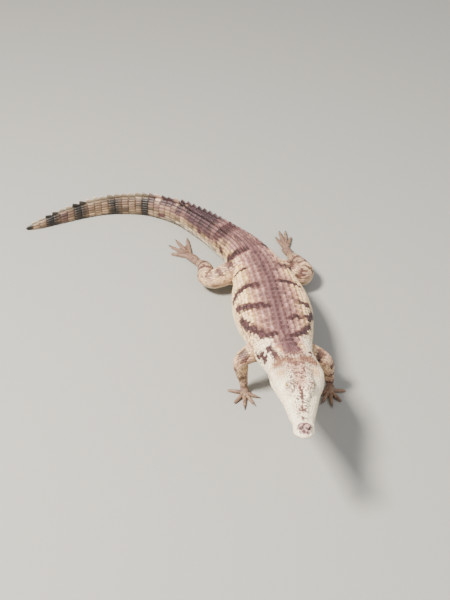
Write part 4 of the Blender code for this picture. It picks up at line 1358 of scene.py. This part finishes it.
def scute_template(rounding, keel):
    """Plate with rounded corners and a keel along the middle; unit size."""
    edit = bmesh.new()
    bmesh.ops.create_grid(edit, x_segments=6, y_segments=6, size=0.5)
    rim = [e for e in edit.edges if e.is_boundary]
    skirt = bmesh.ops.extrude_edge_only(edit, edges=rim)["geom"]
    hem = [part for part in skirt if isinstance(part, bmesh.types.BMVert)]
    bmesh.ops.translate(edit, verts=hem, vec=(0.0, 0.0, -1.0))
    bmesh.ops.holes_fill(edit, edges=[e for e in edit.edges if e.is_boundary], sides=0)
    verts, faces = shape_of(edit)
    x, y = verts[:, 0] * 2.0, verts[:, 1] * 2.0
    pull = np.sqrt(1.0 - rounding * np.minimum(x * x, y * y))
    y = np.sign(y) * np.abs(y) ** 1.25
    edge = np.clip(np.maximum(np.abs(x), np.abs(y)), 0.0, 1.0)
    slope = np.clip(0.30 + 0.70 * (x + 1.0) / 1.6, 0.0, 1.0) * (1.0 - edge ** 8)
    top = (0.92 - keel) * (1.0 - edge ** 6) + 0.08 + keel * np.exp(-np.abs(y / 0.34) ** 1.4) * slope
    height = np.where(verts[:, 2] < -0.5, -0.45, top)
    return np.column_stack([x * pull / 2.0, y * pull / 2.0, height]), faces


def look_up(patch, u, v):
    """Places on a patch, in millimetres, for coordinates u and v."""
    grid = patch["points"]
    x = np.clip((u - patch["u0"]) / patch["du"], 0.0, grid.shape[0] - 1.001)
    y = np.mod((v - patch["v0"]) / patch["dv"], grid.shape[1] - 1)
    i, j = np.floor(x).astype(int), np.floor(y).astype(int)
    fx, fy = (x - i)[..., None], (y - j)[..., None]
    return ((grid[i, j] * (1 - fy) + grid[i, j + 1] * fy) * (1 - fx)
            + (grid[i + 1, j] * (1 - fy) + grid[i + 1, j + 1] * fy) * fx)


def unwrap_place(patch, u, v, girth):
    """Root of a scale on an even unwrap of the skin's own shape."""
    along, across = u / UV_LENGTH, v * girth / UV_GIRTH
    if patch is body:
        return np.column_stack([0.01 + along, 0.5 + across])
    words = patch["name"].split("_")
    x, y = LIMB_CORNERS["_".join(words[:2])]
    if "palm" in words:
        x += 0.13
    if "digit" in words:
        x += 0.16
        y += 0.045 * (int(words[3]) - 2)
    return np.column_stack([x + along, y + 0.11 + across])


def lay_scales(store, patch, template, places, rng, lift=0.28, stray_reach=1.1, own=1.0):
    """Stand scales on a patch; places hold u, v, length, width and height.

    The tone is that of a place near the root, or in part that of each point where own is
    below 1.
    """
    verts, faces = template
    u, v, length, width, height = np.array(places, dtype=float).T
    girth = half_girth(patch, u)
    points_u = u[:, None] + verts[None, :, 0] * length[:, None]
    points_v = v[:, None] + verts[None, :, 1] * width[:, None] / girth[:, None]
    spots = look_up(patch, points_u, points_v)
    good = ~np.isnan(spots).any(axis=(1, 2))
    below = verts[:, 2] <= 0.0
    tall = verts[:, 2] * np.where(below, ROOT_SHARE, 1.0 + lift * 2.0 * verts[:, 0])
    tall = tall[None, :] * height[:, None]
    out = np.zeros_like(spots)
    for i in np.where(good)[0]:
        for j in range(len(verts)):
            hit, normal, face, gap = skin_tree.find_nearest(Vector(spots[i, j] * MM), SCALE_REACH)
            if hit is None:
                good[i] = False
                break
            out[i, j] = np.array(hit) / MM + face_normals[face] * tall[i, j]
    u, v, girth, out = u[good], v[good], girth[good], out[good]
    roots = look_up(patch, u, v)
    stray = rng.normal(0.0, stray_reach, (2, len(u)))
    tones = patch_tone(patch, u + stray[0], v + stray[1] / girth, roots)[:, None]
    if own < 1.0:
        around = patch_tone(patch, points_u[good].ravel(), points_v[good].ravel(),
                            spots[good].reshape(-1, 3))
        tones = tones * own + around.reshape(len(u), -1, 4) * (1.0 - own)
    out[..., 2] = np.maximum(out[..., 2], FLOOR_GAP)
    store.append((out, faces, tones, unwrap_place(patch, u, v, girth), verts))


def joined_scales(name, store, rng, bright, painted_base_shade, painted_highlight=0.16, strays=0.0):
    """One mesh of all the scales laid, with markings, painted shade, painted highlights and the
    unwrap for baking.

    There are far too many scales for an operator each, so copies of the templates are tiled.
    """
    places, colours, unwrap, polygons, start = [], [], [], [], 0
    highlight_tone = linear(252, 232, 206)
    for out, faces, tones, roots, shape in store:
        count, per = out.shape[:2]
        places.append(out.reshape(-1, 3))
        change = 1.0 + bright * rng.uniform(-1.0, 1.0, (count, 1, 1))
        change = change * np.where(rng.random((count, 1, 1)) < strays, 0.48, 1.0)
        crown = np.clip(shape[:, 2], 0.0, 1.0)[None, :, None]
        full = np.broadcast_to(tones, (count, per, 4)).copy()
        # painted shade: each scale darker towards its foot and lighter on its top
        full[..., :3] = full[..., :3] * change * (1.12 - painted_base_shade + painted_base_shade * crown)
        # painted highlight: a pale glint on the tops of all but the darkest scales
        lightness = full[..., :3].mean(axis=2, keepdims=True)
        full[..., :3] += (highlight_tone - full[..., :3]) * painted_highlight * crown ** 3 * smooth(0.06, 0.30, lightness)
        colours.append(full.reshape(-1, 4))
        unwrap.append((roots[:, None, :] + shape[None, :, :2] * UV_PATCH).reshape(-1, 2))
        first = start + per * np.arange(count)[:, None]
        for face in faces:
            polygons.extend((first + np.array(face)[None, :]).tolist())
        start += count * per
    mesh = bpy.data.meshes.new(name)
    mesh.from_pydata((np.concatenate(places) * MM).tolist(), [], polygons)
    store_tones(mesh, np.concatenate(colours))
    corners = np.zeros(len(mesh.loops), dtype=np.int32)
    mesh.loops.foreach_get("vertex_index", corners)
    layer = mesh.uv_layers.new(name="OFBake")
    layer.data.foreach_set("uv", np.concatenate(unwrap)[corners].astype(np.float32).ravel())
    mesh.shade_smooth()
    mesh.materials.append(scale_material)
    piece = bpy.data.objects.new(name, mesh)
    bpy.context.scene.collection.objects.link(piece)
    return piece


SCUTE = scute_template(0.40, 0.62)
PEBBLE = bead_template(6, 2.2, ((0.16, 0.5),))
rng = np.random.default_rng(11)
scutes, granules = [], []
places = []
for s in np.arange(196.0, 458.0, SCUTE_PITCH):
    girth = float(half_girth(body, s))
    columns = 2 if s < 212 else 3 if s < 230 or s > 430 else 4
    wide = 8.7 if columns == 4 else 8.0
    for side in (1.0, -1.0):
        for k in range(columns):
            arc = (k + 0.5) * wide
            size, tall = (0.96, 1.9) if k < OUTER_SCUTE else (0.84, 1.7)
            places.append((s + rng.normal(0, 0.6) - 0.5 * k + 1.2 * (k % 2),
                           side * (arc + rng.normal(0, 0.25)) / girth,
                           11.3 * size * rng.uniform(0.9, 1.03),
                           wide * 0.97 * size * rng.uniform(0.9, 1.03),
                           tall * rng.uniform(0.85, 1.1)))
lay_scales(scutes, body, SCUTE, places, rng, own=0.7)
lay_scales(scutes, body, SCUTE, [(s, side * arc / float(half_girth(body, s)), long, wide, tall)
                                 for s, arc, long, wide, tall in NUCHAL
                                 for side in (1.0, -1.0)], rng)


def grain(s, arc, loose, length, width, height):
    """Place of one granule, a little out of line."""
    return (s + rng.normal(0, loose), (arc + rng.normal(0, 0.2)) / float(half_girth(body, s)),
            length, width, height)


places = []
for s in np.arange(201.0, 452.0, SCUTE_PITCH):
    reach = 17.0 if s < 212 else 25.0 if s < 230 or s > 430 else 34.0
    for arc in np.arange(-reach, reach + 0.1, 2.1):
        places.append(grain(s, arc, 0.5, 2.4, 2.2, 0.5))
for s in (454.6, 456.4):
    for arc in np.arange(-27.0, 27.1, 2.2):
        places.append(grain(s, arc, 0.3, 2.5, 2.3, 0.5))
for row, s in enumerate(np.arange(163.0, 195.0, 2.5)):
    for arc in np.arange(-22.4 + 1.4 * (row % 2), 22.5, 2.8):
        under = [abs(s - at) < 0.40 * long and abs(abs(arc) - off) < 0.40 * wide
                 for at, off, long, wide, tall in NUCHAL]
        if not any(under):
            places.append((*grain(s, arc, 0.2, 3.1, 2.9, 0.6)[:4], 0.6 * rng.uniform(0.8, 1.2)))
lay_scales(granules, body, PEBBLE, places, rng)
scutes_back = joined_scales("scutes_back", scutes, rng, 0.32, 0.66, 0.50, 0.08)
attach(scutes_back, "root")
granules_back = joined_scales("granules_back", granules, rng, 0.12, 0.40, 0.0)
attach(granules_back, "root")


# --------------------------------------------------------------------------------------
# Beads of the flanks and neck.
# Low domes of horn in loose staggered rows, smallest on the neck, with bare folding skin
# between them.
# --------------------------------------------------------------------------------------
BEAD = bead_template(8, 2.0, ((0.10, 0.5), (0.20, 0.35)))


def rows_on(patch, span, low, high, width, height, length, rng, jitter, widen=1.0):
    """Staggered rows of scales between two arcs on both sides of a patch.

    The span is the first row, the last and the step; low and high give the arcs for a
    distance and its half girth.
    """
    places = []
    for u in np.arange(*span):
        girth = float(half_girth(patch, u))
        start = low(u, girth)
        count = max(int(round((high(u, girth) - start) / width)), 1)
        step = (high(u, girth) - start) / count
        for side in (1.0, -1.0):
            for k in range(count):
                arc = start + (k + 0.5) * step
                places.append((u + span[2] * (0.5 * (k % 2) + rng.normal(0, jitter)),
                               side * (arc + rng.normal(0, jitter) * step) / girth,
                               length * rng.uniform(0.92, 1.06),
                               widen * step * rng.uniform(0.90, 1.04),
                               height * rng.uniform(0.85, 1.15)))
    return places


rng = np.random.default_rng(12)
beads = []
for span, low, high, width, height, length in (
        ((232.0, 462.0, 6.3), lambda u, g: 35.6 if u < 430 else 25.0, 0.62, 5.5, 1.25, 7.3),
        ((152.0, 190.0, 3.7), lambda u, g: 0.3 if u < 163 else 21.0, 0.60, 3.8, 0.72, 4.4),
        ((191.0, 231.0, 4.6), lambda u, g: 16.8 if u < 209 else 24.5, 0.60, 4.6, 0.9, 5.4)):
    rows = rows_on(body, span, low, lambda u, g: high * g, width, height, length, rng, 0.10, 1.16)
    lay_scales(beads, body, BEAD, rows, rng)
scales_flank = joined_scales("scales_flank", beads, rng, 0.20, 0.68, 0.46, 0.05)
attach(scales_flank, "root")


# --------------------------------------------------------------------------------------
# Plates of the throat, chest and belly.
# Smooth flat squares of horn without a keel, in straight rows across, finer on the throat.
# --------------------------------------------------------------------------------------
PLATE = bead_template(12, 3.6, ((0.07, 0.35), (0.16, 0.12)))
rng = np.random.default_rng(13)
plates = []
for span, low, width, height, length in (((196.0, 462.0, 8.0), 0.61, 6.6, 0.42, 8.3),
                                         ((150.0, 192.0, 5.2), 0.60, 4.6, 0.36, 5.5)):
    rows = rows_on(body, span, lambda u, g: low * g, lambda u, g: g, width, height, length,
                   rng, 0.0)
    lay_scales(plates, body, PLATE, rows, rng)
scales_belly = joined_scales("scales_belly", plates, rng, 0.05, 0.40)
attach(scales_belly, "root")


# --------------------------------------------------------------------------------------
# Whorls and crest of the tail.
# Rings of plates, keeled above and flat below, each lapping the next; two rows of upright
# saw plates run back from the hips and meet in a single one.
# --------------------------------------------------------------------------------------
WHORL = 11.5
KEELED_SHARE = 0.62        # of the half girth
CREST = ((450, 0.6), (470, 2.2), (504, 3.8), (570, 5.6), (648, 7.6), (717, 9.4), (771, 10.0),
         (825, 9.2), (880, 6.0), (905, 3.0), (915, 0.6))
CREST_SPREAD = ((450, 15.0), (504, 11.5), (570, 8.0), (620, 5.0), (648, 2.4), (662, 0.0))


def blade_template():
    """Upright saw-tooth plate leaning back; unit length, thickness and height."""
    edit = bmesh.new()
    made = bmesh.ops.create_cone(edit, cap_ends=True, segments=10, radius1=0.5, radius2=0.10,
                                 depth=1.0)["verts"]
    bmesh.ops.subdivide_edges(edit, edges=standing_edges(made), cuts=3)
    verts, faces = shape_of(edit)
    t = verts[:, 2] + 0.5
    verts[:, 0] = verts[:, 0] * (1.0 + 0.46 * np.sin(np.pi * t)) + 0.36 * t ** 1.4
    verts[:, 1] *= 1.0 - 0.45 * t
    verts[:, 2] = t * 1.12 - 0.12
    return verts, faces


TAIL_PLATE = scute_template(0.26, 0.36)
RING_PLATE = bead_template(12, 4.2, ((0.06, 0.45), (0.17, 0.20)))
BLADE = blade_template()
rng = np.random.default_rng(14)
flat, keeled, blades = [], [], []
for s in np.arange(461.0, 908.0, WHORL):
    girth = float(half_girth(body, s))
    spread = float(curve(CREST_SPREAD, s))
    tall = float(curve(CREST, s)) * 0.70 + 0.6
    long = WHORL if s < 840 else WHORL * 0.9
    double = spread > 0.5
    for side in ((1.0, -1.0) if double else (0.0,)):
        blades.append((s, side * spread / girth, long * 1.06, 3.8 if spread > 3 else 3.2,
                       tall * rng.uniform(0.88, 1.08)))
    if spread > 4.0:
        # plates between the two crests
        inner = max(int(round(spread / 6.0)), 1)
        wide = (spread - 1.5) / inner
        for side in (1.0, -1.0):
            for k in range(inner):
                keeled.append((s, side * (k + 0.5) * wide / girth, WHORL * 1.02, wide, 0.75))
    low = spread + 1.6 if double else 1.7
    count = max(int(round((girth - low) / (5.6 if s < 700 else 4.4))), 2)
    step = (girth - low) / count
    for side in (1.0, -1.0):
        for k in range(count):
            arc = low + (k + 0.5) * step
            thick = 0.86 if arc < girth * 0.7 else 0.5
            kind = keeled if arc < KEELED_SHARE * girth else flat
            kind.append((s + rng.normal(0, 0.2), side * arc / girth, WHORL * 1.07, step * 1.05,
                         thick * min(1.0, girth / 40.0 + 0.3)))
rings = []
lay_scales(rings, body, TAIL_PLATE, keeled, rng, 0.5, own=0.45)
lay_scales(rings, body, RING_PLATE, flat, rng, 0.4, own=0.45)
lay_scales(rings, body, BLADE, blades, rng, 0.0)
scales_tail = joined_scales("scales_tail", rings, rng, 0.28, 0.72, 0.24, 0.10)
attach(scales_tail, "root")


# --------------------------------------------------------------------------------------
# Scales of the head.
# Thin plates along the lips and fine beads on jaws, cheeks and temples, over skin grown
# fast to the bone; the snout and skull table carry only faint flat pebbles.
# --------------------------------------------------------------------------------------
PEBBLE_FLAT = bead_template(7, 2.4, ((0.10, 0.3),))
TABLE_START = 97.0
TABLE_SHARE = 0.62         # of the arc from crown to lip that the skull table takes
LID_CLEARANCE, PAD_CLEARANCE = 7.6, 7.4    # bare skin round the eyes and the nostril pad
LIP_STRAY = 0.3            # the lip plates keep close to the tone at their roots


def lip_arc(u, g):
    """Arc from the crown to the mouth line."""
    return float(np.interp(u, np.arange(len(body["lips"])), body["lips"])) * g


def crown_edge(u, g):
    """Arc from the crown to the edge of the pebbles of snout and skull table."""
    return TABLE_SHARE * lip_arc(u, g) if u > TABLE_START else lip_arc(u, g) - 3.8


def off_bare_skin(places):
    """Drop scales that would stand on the lids or the nostril pad."""
    kept = []
    for row in places:
        spot = look_up(body, np.array([row[0]]), np.array([row[1]]))[0]
        gaps = [np.linalg.norm(spot - centre) for centre in eye_centres.values()]
        if (min(gaps) > LID_CLEARANCE
                and np.linalg.norm(spot * MM - np.array(nose)) > PAD_CLEARANCE * MM):
            kept.append(row)
    return kept


rng = np.random.default_rng(15)
face = []
for template, span, low, high, width, height, length, jitter, stray in (
        (PLATE, (3.0, 132.0, 4.2), lambda u, g: lip_arc(u, g) - 3.6,
         lambda u, g: lip_arc(u, g) - 0.6, 3.0, 0.34, 4.3, 0.04, LIP_STRAY),
        (PLATE, (4.0, 130.0, 4.4), lambda u, g: lip_arc(u, g) + 2.2,
         lambda u, g: lip_arc(u, g) + 8.2, 3.1, 0.30, 4.5, 0.06, LIP_STRAY),
        (BEAD, (6.0, 150.0, 3.3), lambda u, g: lip_arc(u, g) + 8.6,
         lambda u, g: g, 3.2, 0.26, 3.5, 0.12, 1.1),
        (BEAD, (TABLE_START, 150.0, 2.9), lambda u, g: TABLE_SHARE * lip_arc(u, g),
         lambda u, g: lip_arc(u, g) - 3.8, 2.8, 0.30, 3.1, 0.12, 1.1),
        (BEAD, (126.0, 152.0, 2.9), lambda u, g: 0.4,
         lambda u, g: TABLE_SHARE * lip_arc(u, g), 3.0, 0.42, 3.1, 0.12, 1.1)):
    rows = rows_on(body, span, low, high, width, height, length, rng, jitter)
    lay_scales(face, body, template, rows, rng, stray_reach=stray)
rows = rows_on(body, (4.0, 126.0, 2.5), lambda u, g: 0.2, crown_edge, 2.3, 0.13, 2.6, rng, 0.12)
lay_scales(face, body, PEBBLE_FLAT, off_bare_skin(rows), rng)
scales_head = joined_scales("scales_head", face, rng, 0.10, 0.36, 0.10)
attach(scales_head, "root")


# --------------------------------------------------------------------------------------
# Scales of the legs, hands and feet.
# Overlapping lozenges down the legs, growing finer towards the wrist and ankle, and small
# round pebbles on palms, soles and digits.
# --------------------------------------------------------------------------------------
LOZENGE = bead_template(8, 1.55, ((0.08, 0.5), (0.18, 0.30)))
rng = np.random.default_rng(16)
limb_scales, paw_scales = [], []
for leg in LEGS:
    patch = patches[leg]
    u, row, places = 9.0, 0, []
    while u < patch["length"] - 2.0:
        girth = float(half_girth(patch, u))
        size = float(np.interp(u, (0, 45, 95), (4.2, 3.5, 2.5)))
        count = max(int(round(2.0 * girth / (size * 0.98))), 6)
        for k in range(count):
            v = -1.0 + 2.0 * (k + 0.5 * (row % 2)) / count
            places.append((u + rng.normal(0, 0.15), v + rng.normal(0, 0.10) / count,
                           size * 1.42, 2.0 * girth / count * 1.12,
                           size * 0.17 * rng.uniform(0.85, 1.15)))
        u += size * 0.80
        row += 1
    lay_scales(limb_scales, patch, LOZENGE, places, rng)
    for key in [key for key in patches if key.startswith(leg + "_")]:
        patch = patches[key]
        size, past_end = (2.3, -1.0) if "palm" in key else (2.0, 0.2)
        u, row, places = 0.8, 0, []
        while u < patch["length"] + past_end:
            girth = float(half_girth(patch, u))
            count = max(int(round(2.0 * girth / (size * 1.05))), 5)
            for k in range(count):
                v = -1.0 + 2.0 * (k + 0.5 * (row % 2)) / count
                places.append((u, v, size * 1.15, 2.0 * girth / count, 0.30))
            u += size * 0.92
            row += 1
        lay_scales(paw_scales, patch, PEBBLE, places, rng)
scales_legs = joined_scales("scales_legs", limb_scales, rng, 0.24, 0.62, 0.28, 0.14)
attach(scales_legs, "root")
scales_paws = joined_scales("scales_paws", paw_scales, rng, 0.14, 0.45, 0.16, 0.06)
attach(scales_paws, "root")


# --------------------------------------------------------------------------------------
# Floor, light and camera.
# A pale matt floor out to the horizon, a key light high on the animal's right, a wide dim
# fill from its left, and a camera looking down forty degrees over the nose.
# --------------------------------------------------------------------------------------
VIEW_ANGLE = math.radians(32.0)
LOOK_DOWN = math.radians(40.0)
CAMERA_HEIGHT = 1.0005
edit = bmesh.new()
bmesh.ops.create_grid(edit, x_segments=1, y_segments=1, size=40.0)
floor = finished(edit, "floor")
matt = bpy.data.materials.new("floor")
matt.use_nodes = True
shader = matt.node_tree.nodes["Principled BSDF"]
shader.inputs["Base Color"].default_value = (*linear(148, 147, 143), 1.0)
shader.inputs["Roughness"].default_value = 0.9
floor.data.materials.append(matt)


def soft_light(name, place, aim, size, power, colour):
    """Square area light aimed at a point."""
    data = bpy.data.lights.new(name, "AREA")
    data.shape = "SQUARE"
    data.size = size
    data.energy = power
    data.color = colour
    lamp = bpy.data.objects.new(name, data)
    bpy.context.scene.collection.objects.link(lamp)
    lamp.location = place
    lamp.rotation_euler = (Vector(aim) - Vector(place)).to_track_quat("-Z", "Y").to_euler()


soft_light("key_light", (-0.85, -0.45, 1.75), (0.05, -0.05, 0.0), 0.45, 152.0, (1.0, 0.94, 0.84))
soft_light("fill_light", (1.5, -0.6, 1.3), (0.05, 0.0, 0.0), 1.4, 18.0, (0.97, 0.98, 1.0))
world = bpy.data.worlds.new("studio")
bpy.context.scene.world = world
world.use_nodes = True
world.node_tree.nodes["Background"].inputs["Color"].default_value = (0.96, 0.97, 1.0, 1.0)
world.node_tree.nodes["Background"].inputs["Strength"].default_value = 0.6

lens = bpy.data.cameras.new("camera")
lens.sensor_fit = "AUTO"
lens.angle = VIEW_ANGLE
camera = bpy.data.objects.new("camera", lens)
bpy.context.scene.collection.objects.link(camera)
camera.location = (CENTRING[0] * MM, CENTRING[1] * MM, CAMERA_HEIGHT)
camera.rotation_euler = (math.pi / 2.0 - LOOK_DOWN, 0.0, 0.0)
bpy.context.scene.camera = camera
